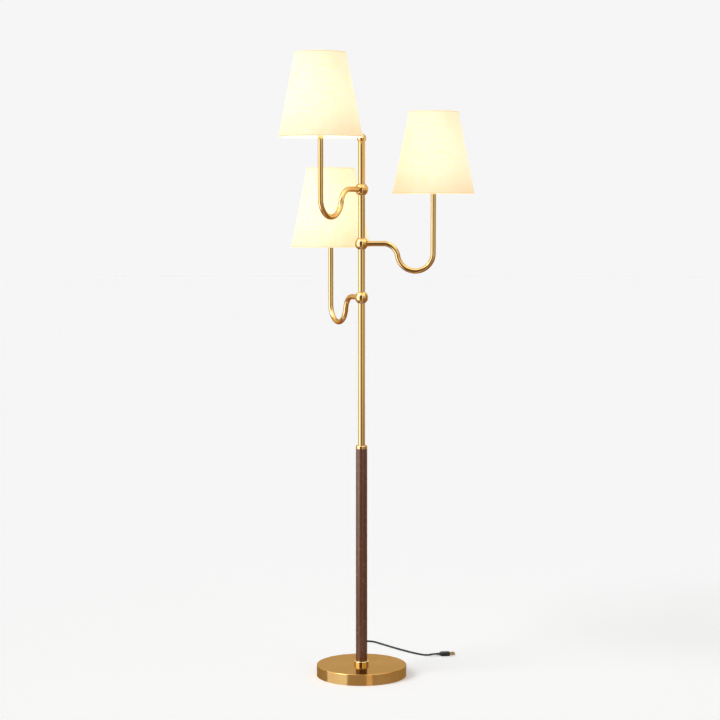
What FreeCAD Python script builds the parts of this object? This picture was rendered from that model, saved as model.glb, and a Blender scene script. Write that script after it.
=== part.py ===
"""Tree floor lamp: a brass disc foot, a leather-wrapped column, a slim pole with three ball hubs,
and three swivelling arms that each carry a drum shade on a lampholder.

Frame: millimetres, +Z up, origin on the floor under the pole. The middle arm points along +X.
Every driving size is a cell of the sheet "Sizes"; the pieces are bound to those cells.
"""

import FreeCAD, Part
import math
import os
import re
import Sketcher

Vector = FreeCAD.Vector
doc = FreeCAD.newDocument("TreeFloorLamp")

# --------------------------------------------------------------------------- the sheet of sizes
SIZES = [
    # fits
    ("fit_gap", 0.05, "radial play of pieces that are screwed or pressed together"),
    ("swivel_gap", 0.1, "play of the pieces that turn on each other"),
    ("cut_margin", 1, "cutting shapes stand this far past what they cut"),
    ("weld_depth", 0.5, "welded wires run this far into what they join"),
    # foot
    ("base_diameter", 240, "brass disc foot, across"),
    ("base_height", 30, "foot, floor to top face"),
    ("cover_wall", 1.5, "spun brass of the foot's cover"),
    ("cover_edge_radius", 2, "rounding of the cover's top edge"),
    ("cover_lift", 0.6, "the cover's rim stands this far off the floor"),
    ("pad_thickness", 1.5, "felt under the foot"),
    ("pad_margin", 2.5, "pad and weight stay this far inside the cover"),
    ("nut_pocket_depth", 20, "pocket for nut and washer, under the weight"),
    ("nut_pocket_radius", 18, "pocket for nut and washer, half its width"),
    ("wire_channel_width", 8, "channel under the weight, exit to centre"),
    ("rod_diameter", 10, "hollow threaded rod and hub spindles"),
    ("rod_bore", 5.6, "wire way through rod and spindles"),
    ("rod_tail", 1, "rod below the nut"),
    ("wire_bend_radius", 6, "wire's bend where it turns up into the rod"),
    ("nut_across_flats", 16, "lock nut"),
    ("nut_height", 6, "lock nut"),
    ("washer_radius", 14, "lock washer"),
    ("washer_thickness", 1.5, "lock washer"),
    ("collar_diameter", 40, "brass collar on the foot"),
    ("collar_height", 9.5, "brass collar on the foot"),
    ("collar_edge_radius", 1.5, "rounding of the collar's top edge"),
    # column
    ("column_diameter", 28, "steel tube under the leather"),
    ("column_wall", 1.5, "steel tube under the leather"),
    ("column_top", 611, "floor to the column's top edge"),
    ("leather_thickness", 1.2, "leather round the column"),
    ("leather_seam_angle", 2, "degrees left open between the leather's two edges"),
    ("foot_plug_height", 20, "threaded plug in the column's lower end"),
    ("ferrule_height", 9, "brass cap on the column"),
    ("ferrule_edge_radius", 3, "rounding of the ferrule's top edge"),
    ("ferrule_spigot", 18, "ferrule inside the column"),
    ("pole_depth", 50, "pole inside the column"),
    ("pole_bush_height", 14, "bush at the pole's lower end"),
    # pole and hubs
    ("pole_diameter", 18.5, "pole tube"),
    ("pole_wall", 1.5, "pole tube"),
    ("insert_length", 13, "threaded insert in each pole end"),
    ("hub_diameter", 35, "hub balls"),
    ("lowest_hub", 1012, "floor to the centre of the lowest ball"),
    ("hub_pitch", 142, "ball to ball"),
    ("slip_washer", 0.6, "slip washer above and below each ball"),
    ("spindle_grip", 12, "spindle in the insert, each side"),
    ("hub_wire_bore", 8, "wire way inside the ball"),
    ("finial_diameter", 24.5, "ball on top of the pole"),
    ("pole_top", 1421.5, "floor to the upper end of the pole"),
    # arms
    ("arm_diameter", 14, "arm tube"),
    ("arm_wall", 1.2, "arm tube"),
    ("arm_start", 9, "arm tube in the ball, from the pole's axis"),
    ("arm_reach", 188.5, "pole axis to shade axis"),
    ("arm_drop", 72, "ball centre to the lowest point of the arm's centreline"),
    ("arm_shoulder_radius", 38, "bend near the hub"),
    ("arm_bow_radius", 47, "bend under the shade"),
    ("upper_arm_angle", -120, "degrees from the middle arm"),
    ("middle_arm_angle", 0, "degrees from +X"),
    ("lower_arm_angle", 120, "degrees from the middle arm"),
    ("shade_rise", 130, "ball centre to the shade's lower edge"),
    # lampholder, measured up from the shade's lower edge
    ("tube_end", 14, "upper end of the arm tube"),
    ("cup_bottom", 4, "brass cup under the lampholder"),
    ("cup_radius", 17, "brass cup under the lampholder"),
    ("cup_top", 28, "brass cup under the lampholder"),
    ("cup_edge_radius", 6.8, "rounding under the cup"),
    ("holder_foot_radius", 13.9, "lampholder inside the cup"),
    ("holder_radius", 16.5, "lampholder body"),
    ("holder_bottom", 16, "lampholder's lower face"),
    ("holder_wire_bore", 3, "wire way in the lampholder's floor"),
    ("holder_shoulder", 50, "shoulder that carries the shade"),
    ("holder_thread_radius", 15, "lampholder above the shoulder"),
    ("holder_top", 72, "lampholder's mouth"),
    ("holder_floor", 44, "floor of the lampholder's socket"),
    ("socket_radius", 13.7, "lampholder's socket"),
    ("knob_height", 36, "switch knob's axis"),
    ("knob_stem_radius", 2.5, "switch knob's stem"),
    ("knob_stem_start", 8, "stem in the holder, from its axis"),
    ("knob_start", 20, "grip, from the holder's axis"),
    ("knob_length", 11, "grip of the switch knob"),
    ("knob_radius", 6.5, "grip of the switch knob"),
    ("knob_tip_radius", 5.5, "grip of the switch knob, at its outer end"),
    ("ring_radius", 20, "ring that locks the shade on the holder"),
    ("ring_height", 4.5, "ring that locks the shade on the holder"),
    # shade
    ("shade_height", 214, "shade"),
    ("shade_bottom_diameter", 216, "shade"),
    ("shade_top_diameter", 131, "shade"),
    ("fabric_thickness", 1.2, "linen on its backing"),
    ("wire_diameter", 3, "hoops and spokes"),
    ("carrier_radius", 21, "flat ring on the holder's shoulder"),
    ("carrier_thickness", 1.5, "flat ring on the holder's shoulder"),
    # bulb
    ("bulb_radius", 30, "glass"),
    ("bulb_centre", 126, "centre of the glass ball"),
    ("bulb_taper", 25, "degrees, half the cone of the neck"),
    ("bulb_neck", 12.5, "neck of the glass"),
    ("bulb_wall", 1, "glass"),
    ("cap_radius", 13.1, "screw cap"),
    ("cap_contact_radius", 5.2, "contact under the screw cap"),
    ("cap_contact_height", 1.7, "contact under the screw cap"),
    ("cap_shoulder_height", 3, "slope from the contact out to the thread"),
    ("cap_clearance", 0.3, "contact above the socket's floor"),
    # cord
    ("cord_diameter", 5, "mains lead"),
    ("cord_exit_height", 3.8, "centre of the lead where it leaves the foot"),
    ("cord_lift", 0.05, "the lead lies this far off the floor"),
    ("relief_radius", 3.5, "strain relief in the cover's notch"),
    ("relief_head_radius", 3.75, "strain relief's head outside the cover"),
    ("relief_tip_radius", 3, "strain relief's far end"),
    ("relief_length", 20, "strain relief"),
    ("relief_head_length", 2, "strain relief's head outside the cover"),
    ("lead_inset", 0.5, "the lead starts this far inside the strain relief"),
    ("inner_wire_diameter", 4, "wires inside foot, pole and arms"),
    ("coil_back", 158.3, "pole axis to the coil's axis, along Y"),
    ("coil_radius", 35.5, "outermost turn of the put-away coil, at its centreline"),
    ("coil_pitch", 5.6, "turn to turn, and layer to layer"),
    ("coil_draw_in", 0.9, "the climbing half turn is drawn in this far"),
    ("coil_inward_half_turns", 7, "half turns of the lower layer"),
    ("coil_outward_half_turns", 6, "half turns of the upper layer"),
    ("plug_width", 21, "plug body"),
    ("plug_thickness", 11, "plug body"),
    ("plug_length", 23, "plug body"),
    ("plug_neck", 13, "tapered tail of the plug"),
    ("plug_edge_radius", 3.5, "rounding along the plug body"),
    ("plug_tail_overlap", 1, "the tail runs this far into the block"),
    ("plug_tail_step", 0.3, "the tail is this much slimmer than the block"),
    ("blade_length", 15, "plug blades"),
    ("blade_width", 6.3, "plug blades"),
    ("blade_thickness", 1.5, "plug blades"),
    ("blade_spacing", 12.7, "plug blades, centre to centre"),
]

sheet = doc.addObject("Spreadsheet::Sheet", "Sizes")
for row, (alias, value, note) in enumerate(SIZES, start=1):
    sheet.set(f"A{row}", alias)
    sheet.set(f"B{row}", str(value))
    sheet.setAlias(f"B{row}", alias)
    sheet.set(f"C{row}", note)
doc.recompute()
ALIASES = {alias for alias, _, _ in SIZES}


def bound(formula):
    """The formula with each alias written as a cell of the sheet, for setExpression."""
    return re.sub(r"[a-z_]+", lambda m: f"Sizes.{m[0]}" if m[0] in ALIASES else m[0], str(formula))


def number(formula):
    """What the formula comes to with the sheet's present values."""
    return float(sheet.evalExpression(str(formula)))


# --------------------------------------------------------------------------- derived places
COVER_INSIDE = "(base_diameter / 2 - cover_wall)"
COVER_UNDERSIDE = "(base_height - cover_wall)"
WEIGHT_TOP = "(base_height - cover_wall - fit_gap)"
POCKET_TOP = "(pad_thickness + nut_pocket_depth)"
NUT_BOTTOM = f"({POCKET_TOP} - washer_thickness - nut_height)"
ROD_BOTTOM = f"({NUT_BOTTOM} - rod_tail)"
ROD_HOLE = "(rod_diameter / 2 + fit_gap)"
COLLAR_TOP = "(base_height + collar_height)"
COLUMN_BORE = "(column_diameter / 2 - column_wall)"
LEATHER_OUTSIDE = "(column_diameter / 2 + fit_gap + leather_thickness)"
POLE_BORE = "(pole_diameter / 2 - pole_wall)"
POLE_BOTTOM = "(column_top - pole_depth)"
HUB_FLAT = "sqrt((hub_diameter / 2)^2 - (pole_diameter / 2)^2)"
HUB_HALF_SPACE = f"({HUB_FLAT} + swivel_gap + slip_washer)"
FINIAL_RISE = "sqrt((finial_diameter / 2)^2 - (pole_diameter / 2)^2)"
HUB_HEIGHTS = ["lowest_hub", "(lowest_hub + hub_pitch)", "(lowest_hub + 2 * hub_pitch)"]
ARMS = [
    ("lower", HUB_HEIGHTS[0], "lower_arm_angle"),
    ("middle", HUB_HEIGHTS[1], "middle_arm_angle"),
    ("upper", HUB_HEIGHTS[2], "upper_arm_angle"),
]
CORD_FLOOR = "(cord_diameter / 2 + cord_lift)"
PLUG_AXIS = "(plug_thickness / 2 + cord_lift)"

subparts = []


def keep(obj, label):
    """Names an object as a sub-part that gets a file of its own."""
    obj.Label = label
    subparts.append(obj)
    return obj


def bind(obj, **formulas):
    """Binds properties of an object to the sheet, such as Radius="hub_diameter / 2"."""
    for name, formula in formulas.items():
        obj.setExpression(name.replace("__", "."), bound(formula))
    return obj


def place(obj, x="0", y="0", z="0", angle="0"):
    """Sets and binds a Placement: a turn about Z, then a shift."""
    base = Vector(number(x), number(y), number(z))
    obj.Placement = FreeCAD.Placement(base, FreeCAD.Rotation(Vector(0, 0, 1), number(angle)))
    for axis, formula in (("x", x), ("y", y), ("z", z)):
        obj.setExpression(f"Placement.Base.{axis}", bound(formula))
    if angle != "0":
        obj.setExpression("Placement.Rotation.Angle", bound(angle))
    return obj


# --------------------------------------------------------------------------- sketches and bodies
def origin_plane(body, role):
    return next(o for o in body.Origin.OriginFeatures if o.Role == role)


def new_sketch(body, name, role, offset="0"):
    """A sketch on one of the body's own origin planes, moved along its normal."""
    sketch = body.newObject("Sketcher::SketchObject", name)
    sketch.AttachmentSupport = [(origin_plane(body, role), "")]
    sketch.MapMode = "FlatFace"
    if offset != "0":
        sketch.AttachmentOffset = FreeCAD.Placement(Vector(0, 0, number(offset)), FreeCAD.Rotation())
        sketch.setExpression("AttachmentOffset.Base.z", bound(offset))
    return sketch


def pin_point(sketch, edge, end, x, y):
    """Holds one end of a sketch edge at a place given by two formulas."""
    for kind, formula in (("DistanceX", x), ("DistanceY", y)):
        index = sketch.addConstraint(Sketcher.Constraint(kind, -1, 1, edge, end, number(formula)))
        sketch.setExpression(f"Constraints[{index}]", bound(formula))


def arc_centre(start, end, radius):
    """Centre of the arc from start to end; a positive radius bulges to the right of the way."""
    middle, half = (start + end) * 0.5, (end - start) * 0.5
    left = Vector(-half.y, half.x, 0).normalize()
    reach = math.sqrt(max(radius**2 - half.Length**2, 0))
    return middle + left * math.copysign(reach, radius)


def add_outline(sketch, outline):
    """A closed outline. A corner is (x, y); (x, y, radius) is reached by an arc instead of a line."""
    corners = [Vector(number(c[0]), number(c[1]), 0) for c in outline]
    edges = []
    for here, spec in enumerate(outline):
        start, end = corners[here - 1], corners[here]
        if len(spec) == 2:
            index = sketch.addGeometry(Part.LineSegment(start, end))
            edges.append((index, 1, 2))
            continue
        radius = number(spec[2])
        centre = arc_centre(start, end, radius)
        circle = Part.Circle(centre, Vector(0, 0, 1), abs(radius))
        first, last = (start, end) if radius > 0 else (end, start)
        index = sketch.addGeometry(
            Part.ArcOfCircle(circle, circle.parameter(first), circle.parameter(last))
        )
        edges.append((index, 1, 2) if radius > 0 else (index, 2, 1))
        pin = sketch.addConstraint(Sketcher.Constraint("Radius", index, abs(radius)))
        sketch.setExpression(f"Constraints[{pin}]", bound(f"abs({spec[2]})"))
    for here, spec in enumerate(outline):
        index, _, end = edges[here]
        following, start, _ = edges[(here + 1) % len(edges)]
        sketch.addConstraint(Sketcher.Constraint("Coincident", index, end, following, start))
        pin_point(sketch, index, end, spec[0], spec[1])


def add_circle(sketch, radius, x="0", y="0"):
    centre = Vector(number(x), number(y), 0)
    index = sketch.addGeometry(Part.Circle(centre, Vector(0, 0, 1), number(radius)))
    pin = sketch.addConstraint(Sketcher.Constraint("Radius", index, number(radius)))
    sketch.setExpression(f"Constraints[{pin}]", bound(radius))
    pin_point(sketch, index, 3, x, y)


def turned(label, outline, role="XZ_Plane", about="V_Axis", angle="360"):
    """A body turned from its outline: about the upright axis, or about H_Axis, the level one."""
    body = keep(doc.addObject("PartDesign::Body", label + "_body"), label)
    sketch = new_sketch(body, label + "_outline", role)
    add_outline(sketch, outline)
    turn = body.newObject("PartDesign::Revolution", label + "_turn")
    turn.Profile = sketch
    turn.ReferenceAxis = (sketch, [about])
    turn.Midplane = True
    bind(turn, Angle=angle)
    doc.recompute()
    return body


def cut_away(body, sketch, depth, backwards=False):
    """A pocket that has to take material away, so the volume is compared."""
    before = body.Shape.Volume
    pocket = body.newObject("PartDesign::Pocket", sketch.Name + "_cut")
    pocket.Profile = sketch
    pocket.Reversed = backwards
    bind(pocket, Length=depth)
    doc.recompute()
    if not body.Shape.Volume < before - 1:
        raise RuntimeError(f"{sketch.Name} cuts nothing out of {body.Label}")
    return pocket


def tube(name, outer_radius, height, bore_radius):
    """A straight tube standing on z = 0: a cylinder less its bore."""
    outside = bind(doc.addObject("Part::Cylinder", name + "_outside"), Radius=outer_radius, Height=height)
    bore = bind(doc.addObject("Part::Cylinder", name + "_bore"), Radius=bore_radius, Height=height)
    shell = doc.addObject("Part::Cut", name + "_tube")
    shell.Base, shell.Tool = outside, bore
    return shell


def group(label, members):
    """Several like pieces, separate solids, that share one node."""
    compound = keep(doc.addObject("Part::Compound", label + "_group"), label)
    compound.Links = members
    return compound


# --------------------------------------------------------------------------- the foot
cover = turned("base_cover", [
    (ROD_HOLE, COVER_UNDERSIDE),
    (COVER_INSIDE, COVER_UNDERSIDE),
    (COVER_INSIDE, "cover_lift"),
    ("base_diameter / 2", "cover_lift"),
    ("base_diameter / 2", "base_height - cover_edge_radius"),
    ("base_diameter / 2 - cover_edge_radius", "base_height", "cover_edge_radius"),
    (ROD_HOLE, "base_height"),
])
NOTCH_HALF = "(relief_radius + fit_gap)"
notch = new_sketch(cover, "cord_notch", "XZ_Plane", f"-{COVER_INSIDE} + 2 * cover_wall")
add_outline(notch, [
    (f"-{NOTCH_HALF}", "0"),
    (NOTCH_HALF, "0"),
    (NOTCH_HALF, "cord_exit_height"),
    ("0", f"cord_exit_height + {NOTCH_HALF}", NOTCH_HALF),
    (f"-{NOTCH_HALF}", "cord_exit_height", NOTCH_HALF),
])
cut_away(cover, notch, "6 * cover_wall")

weight = turned("base_weight", [
    (ROD_HOLE, POCKET_TOP),
    ("nut_pocket_radius", POCKET_TOP),
    ("nut_pocket_radius", "pad_thickness"),
    (f"{COVER_INSIDE} - pad_margin", "pad_thickness"),
    (f"{COVER_INSIDE} - pad_margin", WEIGHT_TOP),
    (ROD_HOLE, WEIGHT_TOP),
])
channel = new_sketch(weight, "wire_channel", "XZ_Plane")
add_outline(channel, [
    ("-wire_channel_width / 2", "0"),
    ("wire_channel_width / 2", "0"),
    ("wire_channel_width / 2", "pad_thickness + wire_channel_width"),
    ("-wire_channel_width / 2", "pad_thickness + wire_channel_width"),
])
cut_away(weight, channel, "base_diameter / 2")

pad = bind(doc.addObject("Part::Cylinder", "pad"), Radius=f"{COVER_INSIDE} - pad_margin",
           Height="pad_thickness")
keep(pad, "base_pad")

nut_blank = bind(doc.addObject("Part::Prism", "nut_blank"), Height="nut_height",
                 Circumradius="nut_across_flats / sqrt(3)")
nut_hole = bind(doc.addObject("Part::Cylinder", "nut_hole"), Radius=ROD_HOLE, Height="nut_height")
nut = keep(doc.addObject("Part::Cut", "nut"), "base_lock_nut")
nut.Base, nut.Tool = nut_blank, nut_hole
place(nut, z=NUT_BOTTOM)
place(keep(tube("lock_washer", "washer_radius", "washer_thickness", ROD_HOLE), "base_lock_washer"),
      z=f"{POCKET_TOP} - washer_thickness")
rod = tube("rod", "rod_diameter / 2", f"{COLLAR_TOP} + foot_plug_height - {ROD_BOTTOM}", "rod_bore / 2")
place(keep(rod, "base_threaded_rod"), z=ROD_BOTTOM)

turned("base_collar", [
    (ROD_HOLE, "base_height"),
    ("collar_diameter / 2", "base_height"),
    ("collar_diameter / 2", f"{COLLAR_TOP} - collar_edge_radius"),
    ("collar_diameter / 2 - collar_edge_radius", COLLAR_TOP, "collar_edge_radius"),
    (ROD_HOLE, COLLAR_TOP),
])

# --------------------------------------------------------------------------- the column
place(keep(tube("foot_plug", f"{COLUMN_BORE} - fit_gap", "foot_plug_height", ROD_HOLE),
           "column_foot_plug"), z=COLLAR_TOP)
place(keep(tube("column", "column_diameter / 2", f"column_top - {COLLAR_TOP}", COLUMN_BORE),
           "column_tube"), z=COLLAR_TOP)
leather = turned("leather_wrap", [
    ("column_diameter / 2 + fit_gap", f"{COLLAR_TOP} + fit_gap"),
    (LEATHER_OUTSIDE, f"{COLLAR_TOP} + fit_gap"),
    (LEATHER_OUTSIDE, "column_top - fit_gap"),
    ("column_diameter / 2 + fit_gap", "column_top - fit_gap"),
], angle="360 - leather_seam_angle")
place(leather, angle="-90")

POLE_HOLE = "(pole_diameter / 2 + fit_gap)"
turned("column_ferrule", [
    (POLE_HOLE, "column_top - ferrule_spigot"),
    (f"{COLUMN_BORE} - fit_gap", "column_top - ferrule_spigot"),
    (f"{COLUMN_BORE} - fit_gap", "column_top"),
    (f"{LEATHER_OUTSIDE} + fit_gap", "column_top"),
    (f"{LEATHER_OUTSIDE} + fit_gap", "column_top + ferrule_height - ferrule_edge_radius"),
    (f"{LEATHER_OUTSIDE} + fit_gap - ferrule_edge_radius", "column_top + ferrule_height",
     "ferrule_edge_radius"),
    (POLE_HOLE, "column_top + ferrule_height"),
])
place(keep(tube("pole_bush", f"{COLUMN_BORE} - fit_gap", "pole_bush_height", POLE_HOLE),
           "pole_foot_bush"), z=POLE_BOTTOM)

# --------------------------------------------------------------------------- the pole
POLE_SEGMENTS = [
    ("pole_lower", POLE_BOTTOM, f"({HUB_HEIGHTS[0]} - {HUB_HALF_SPACE})"),
    ("pole_between_lower_hubs", f"({HUB_HEIGHTS[0]} + {HUB_HALF_SPACE})",
     f"({HUB_HEIGHTS[1]} - {HUB_HALF_SPACE})"),
    ("pole_between_upper_hubs", f"({HUB_HEIGHTS[1]} + {HUB_HALF_SPACE})",
     f"({HUB_HEIGHTS[2]} - {HUB_HALF_SPACE})"),
    ("pole_top_piece", f"({HUB_HEIGHTS[2]} + {HUB_HALF_SPACE})", "pole_top"),
]
for label, bottom, top in POLE_SEGMENTS:
    segment = tube(label, "pole_diameter / 2", f"{top} - {bottom}", POLE_BORE)
    place(keep(segment, label), z=bottom)

insert_floors = ["pole_top - insert_length"]
for height in HUB_HEIGHTS:
    insert_floors += [f"{height} - {HUB_HALF_SPACE} - insert_length", f"{height} + {HUB_HALF_SPACE}"]
inserts = []
for floor in insert_floors:
    piece = tube(f"insert_{len(inserts)}", f"{POLE_BORE} - fit_gap", "insert_length", ROD_HOLE)
    inserts.append(place(piece, z=floor))
group("pole_inserts", inserts)

washers, spindles = [], []
for height in HUB_HEIGHTS:
    for level in (f"{height} - {HUB_HALF_SPACE}", f"{height} + {HUB_HALF_SPACE} - slip_washer"):
        ring = tube(f"slip_washer_{len(washers)}", "pole_diameter / 2", "slip_washer", ROD_HOLE)
        washers.append(place(ring, z=level))
group("hub_slip_washers", washers)

for name, height, angle in ARMS:
    half = f"({HUB_HALF_SPACE} + spindle_grip)"
    pipe = tube(f"{name}_spindle", "rod_diameter / 2", f"2 * {half}", "rod_bore / 2")
    window = bind(doc.addObject("Part::Box", f"{name}_wire_window"), Length="rod_diameter",
                  Width="rod_diameter + 2 * cut_margin", Height="hub_wire_bore")
    place(window, x="rod_bore / 4", y="-rod_diameter / 2 - cut_margin", z=f"{half} - hub_wire_bore / 2")
    spindle = doc.addObject("Part::Cut", f"{name}_spindle_cut")
    spindle.Base, spindle.Tool = pipe, window
    spindles.append(place(spindle, z=f"{height} - {half}", angle=angle))
group("hub_spindles", spindles)

FINIAL_CENTRE = f"(pole_top + {FINIAL_RISE})"
turned("finial", [
    ("0", "pole_top - spindle_grip"),
    ("rod_diameter / 2", "pole_top - spindle_grip"),
    ("rod_diameter / 2", "pole_top"),
    ("pole_diameter / 2", "pole_top"),
    ("finial_diameter / 2", FINIAL_CENTRE, "finial_diameter / 2"),
    ("0", f"{FINIAL_CENTRE} + finial_diameter / 2", "finial_diameter / 2"),
])

# The wire comes in along the channel, turns up and runs through rod, column and pole.
wire = keep(doc.addObject("PartDesign::Body", "wire_body"), "inner_wire")
wire_path = new_sketch(wire, "wire_path", "YZ_Plane")
wire_start, wire_level = f"({COVER_INSIDE} - fit_gap)", "cord_exit_height"
bend = number("wire_bend_radius")
level, top = number(wire_level), number(HUB_HEIGHTS[2])
wire_path.addGeometry(Part.LineSegment(Vector(number(wire_start), level, 0), Vector(bend, level, 0)))
quarter = Part.Circle(Vector(bend, level + bend, 0), Vector(0, 0, 1), bend)
wire_path.addGeometry(Part.ArcOfCircle(quarter, math.pi, 1.5 * math.pi))
wire_path.addGeometry(Part.LineSegment(Vector(0, level + bend, 0), Vector(0, top, 0)))
wire_path.addConstraint(Sketcher.Constraint("Coincident", 0, 2, 1, 2))
wire_path.addConstraint(Sketcher.Constraint("Coincident", 1, 1, 2, 1))
pin_point(wire_path, 0, 1, wire_start, wire_level)
pin_point(wire_path, 1, 2, "wire_bend_radius", wire_level)
pin_point(wire_path, 1, 1, "0", f"{wire_level} + wire_bend_radius")
pin_point(wire_path, 2, 2, "0", HUB_HEIGHTS[2])
bend_pin = wire_path.addConstraint(Sketcher.Constraint("Radius", 1, bend))
wire_path.setExpression(f"Constraints[{bend_pin}]", bound("wire_bend_radius"))
wire_section = new_sketch(wire, "wire_section", "XZ_Plane", f"-{wire_start}")
add_circle(wire_section, "inner_wire_diameter / 2", "0", wire_level)
wire_run = wire.newObject("PartDesign::AdditivePipe", "wire_run")
wire_run.Profile, wire_run.Spine = wire_section, wire_path
doc.recompute()

# --------------------------------------------------------------------------- the arms
def arm_path(sketch, top):
    """The arm's centreline: level out of the ball, down, round under the shade and up to top."""
    shoulder, bow = number("arm_shoulder_radius"), number("arm_bow_radius")
    reach, drop, start = number("arm_reach"), number("arm_drop"), number("arm_start")
    end = number(top)
    turn = math.acos(1 - drop / (shoulder + bow))
    bow_centre = Vector(reach - bow, bow - drop, 0)
    shoulder_centre = Vector(bow_centre.x - (shoulder + bow) * math.sin(turn), -shoulder, 0)
    down = math.pi / 2 - turn
    sketch.addGeometry(Part.LineSegment(Vector(start, 0, 0), Vector(shoulder_centre.x, 0, 0)))
    circle = Part.Circle(shoulder_centre, Vector(0, 0, 1), shoulder)
    sketch.addGeometry(Part.ArcOfCircle(circle, down, math.pi / 2))
    circle = Part.Circle(bow_centre, Vector(0, 0, 1), bow)
    sketch.addGeometry(Part.ArcOfCircle(circle, math.pi + down, 2 * math.pi))
    sketch.addGeometry(Part.LineSegment(Vector(reach, bow_centre.y, 0), Vector(reach, end, 0)))
    for first, its_end, second, its_start in ((0, 2, 1, 2), (1, 1, 2, 1), (2, 2, 3, 1)):
        sketch.addConstraint(Sketcher.Constraint("Tangent", first, its_end, second, its_start))
    sketch.addConstraint(Sketcher.Constraint("Horizontal", 0))
    for edge, formula in ((1, "arm_shoulder_radius"), (2, "arm_bow_radius")):
        index = sketch.addConstraint(Sketcher.Constraint("Radius", edge, number(formula)))
        sketch.setExpression(f"Constraints[{index}]", bound(formula))
    pin_point(sketch, 0, 1, "arm_start", "0")
    pin_point(sketch, 2, 3, "arm_reach - arm_bow_radius", "arm_bow_radius - arm_drop")
    pin_point(sketch, 3, 2, "arm_reach", top)


def swept(label, radii, top):
    """A body swept along the arm's centreline up to top, from one or two circles."""
    body = keep(doc.addObject("PartDesign::Body", label + "_body"), label)
    path = new_sketch(body, label + "_path", "XZ_Plane")
    arm_path(path, top)
    section = new_sketch(body, label + "_section", "YZ_Plane", "arm_start")
    for radius in radii:
        add_circle(section, radius)
    sweep = body.newObject("PartDesign::AdditivePipe", label + "_sweep")
    sweep.Profile, sweep.Spine = section, path
    doc.recompute()
    return body


def hub_ball(name):
    ball = turned(f"{name}_hub_ball", [
        ("rod_diameter / 2 + fit_gap", f"-{HUB_FLAT}"),
        ("pole_diameter / 2", f"-{HUB_FLAT}"),
        ("pole_diameter / 2", HUB_FLAT, "hub_diameter / 2"),
        ("rod_diameter / 2 + fit_gap", HUB_FLAT),
    ])
    wire_way = new_sketch(ball, f"{name}_ball_wire_way", "YZ_Plane")
    add_circle(wire_way, "hub_wire_bore / 2")
    cut_away(ball, wire_way, "hub_diameter", backwards=True)
    socket = new_sketch(ball, f"{name}_ball_arm_socket", "YZ_Plane", "arm_start - fit_gap")
    add_circle(socket, "arm_diameter / 2 + fit_gap")
    cut_away(ball, socket, "hub_diameter", backwards=True)
    return ball


def lampholder(name):
    holder = turned(f"{name}_lampholder", [
        ("holder_wire_bore / 2", "holder_bottom"),
        ("holder_foot_radius", "holder_bottom"),
        ("holder_foot_radius", "cup_top + fit_gap"),
        ("holder_radius", "cup_top + fit_gap"),
        ("holder_radius", "holder_shoulder"),
        ("holder_thread_radius", "holder_shoulder"),
        ("holder_thread_radius", "holder_top"),
        ("socket_radius", "holder_top"),
        ("socket_radius", "holder_floor"),
        ("holder_wire_bore / 2", "holder_floor"),
    ])
    stem_way = new_sketch(holder, f"{name}_stem_way", "YZ_Plane", "knob_stem_start - cut_margin")
    add_circle(stem_way, "knob_stem_radius + swivel_gap / 2", "0", "knob_height")
    cut_away(holder, stem_way, "holder_radius", backwards=True)
    return holder


SPOKE_ANGLES = (60, 180, 300)


def shade_frame(name):
    """Flat ring, three spokes and the lower hoop as one welded piece, and the loose upper hoop."""
    slope = number("(shade_bottom_diameter - shade_top_diameter) / 2 / shade_height")
    wire = number("wire_diameter") / 2
    inset = number("fabric_thickness") + (wire + number("swivel_gap")) * math.hypot(1, slope)
    low, high = wire + number("fit_gap"), number("shade_height - wire_diameter / 2 - fit_gap")
    hoops = []
    for height in (low, high):
        radius = number("shade_bottom_diameter / 2") - slope * height - inset
        hoops.append(Part.makeTorus(radius, wire, Vector(0, 0, height)))
    ring_level = number("holder_shoulder + fit_gap")
    ring = Part.makeCylinder(number("carrier_radius"), number("carrier_thickness"), Vector(0, 0, ring_level))
    hole = Part.makeCylinder(number("holder_thread_radius + fit_gap"), number("carrier_thickness"),
                             Vector(0, 0, ring_level))
    welded = [hoops[0]]
    for angle in SPOKE_ANGLES:
        out = Vector(math.cos(math.radians(angle)), math.sin(math.radians(angle)), 0)
        inner = out * (number("carrier_radius - weld_depth")) + Vector(0, 0, ring_level + wire / 2)
        outer = out * (number("shade_bottom_diameter / 2") - slope * low - inset) + Vector(0, 0, low)
        welded.append(Part.makeCylinder(wire, (outer - inner).Length, inner, outer - inner))
    frame = ring.fuse(welded).cut(hole).removeSplitter()
    obj = keep(doc.addObject("Part::Feature", f"{name}_wires"), f"{name}_shade_frame")
    obj.Shape = Part.makeCompound([frame.Solids[0], hoops[1]])
    return obj


TANGENT_RADIUS = "(bulb_radius * cos(bulb_taper))"
TANGENT_LEVEL = "(bulb_centre - bulb_radius * sin(bulb_taper))"
NECK_LEVEL = f"({TANGENT_LEVEL} - ({TANGENT_RADIUS} - bulb_neck) / tan(bulb_taper))"
INNER_RADIUS = "((bulb_radius - bulb_wall) * cos(bulb_taper))"
INNER_LEVEL = "(bulb_centre - (bulb_radius - bulb_wall) * sin(bulb_taper))"
GLASS_BOTTOM = "(holder_top + fit_gap)"
CAP_BOTTOM = "(holder_floor + cap_clearance)"

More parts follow.
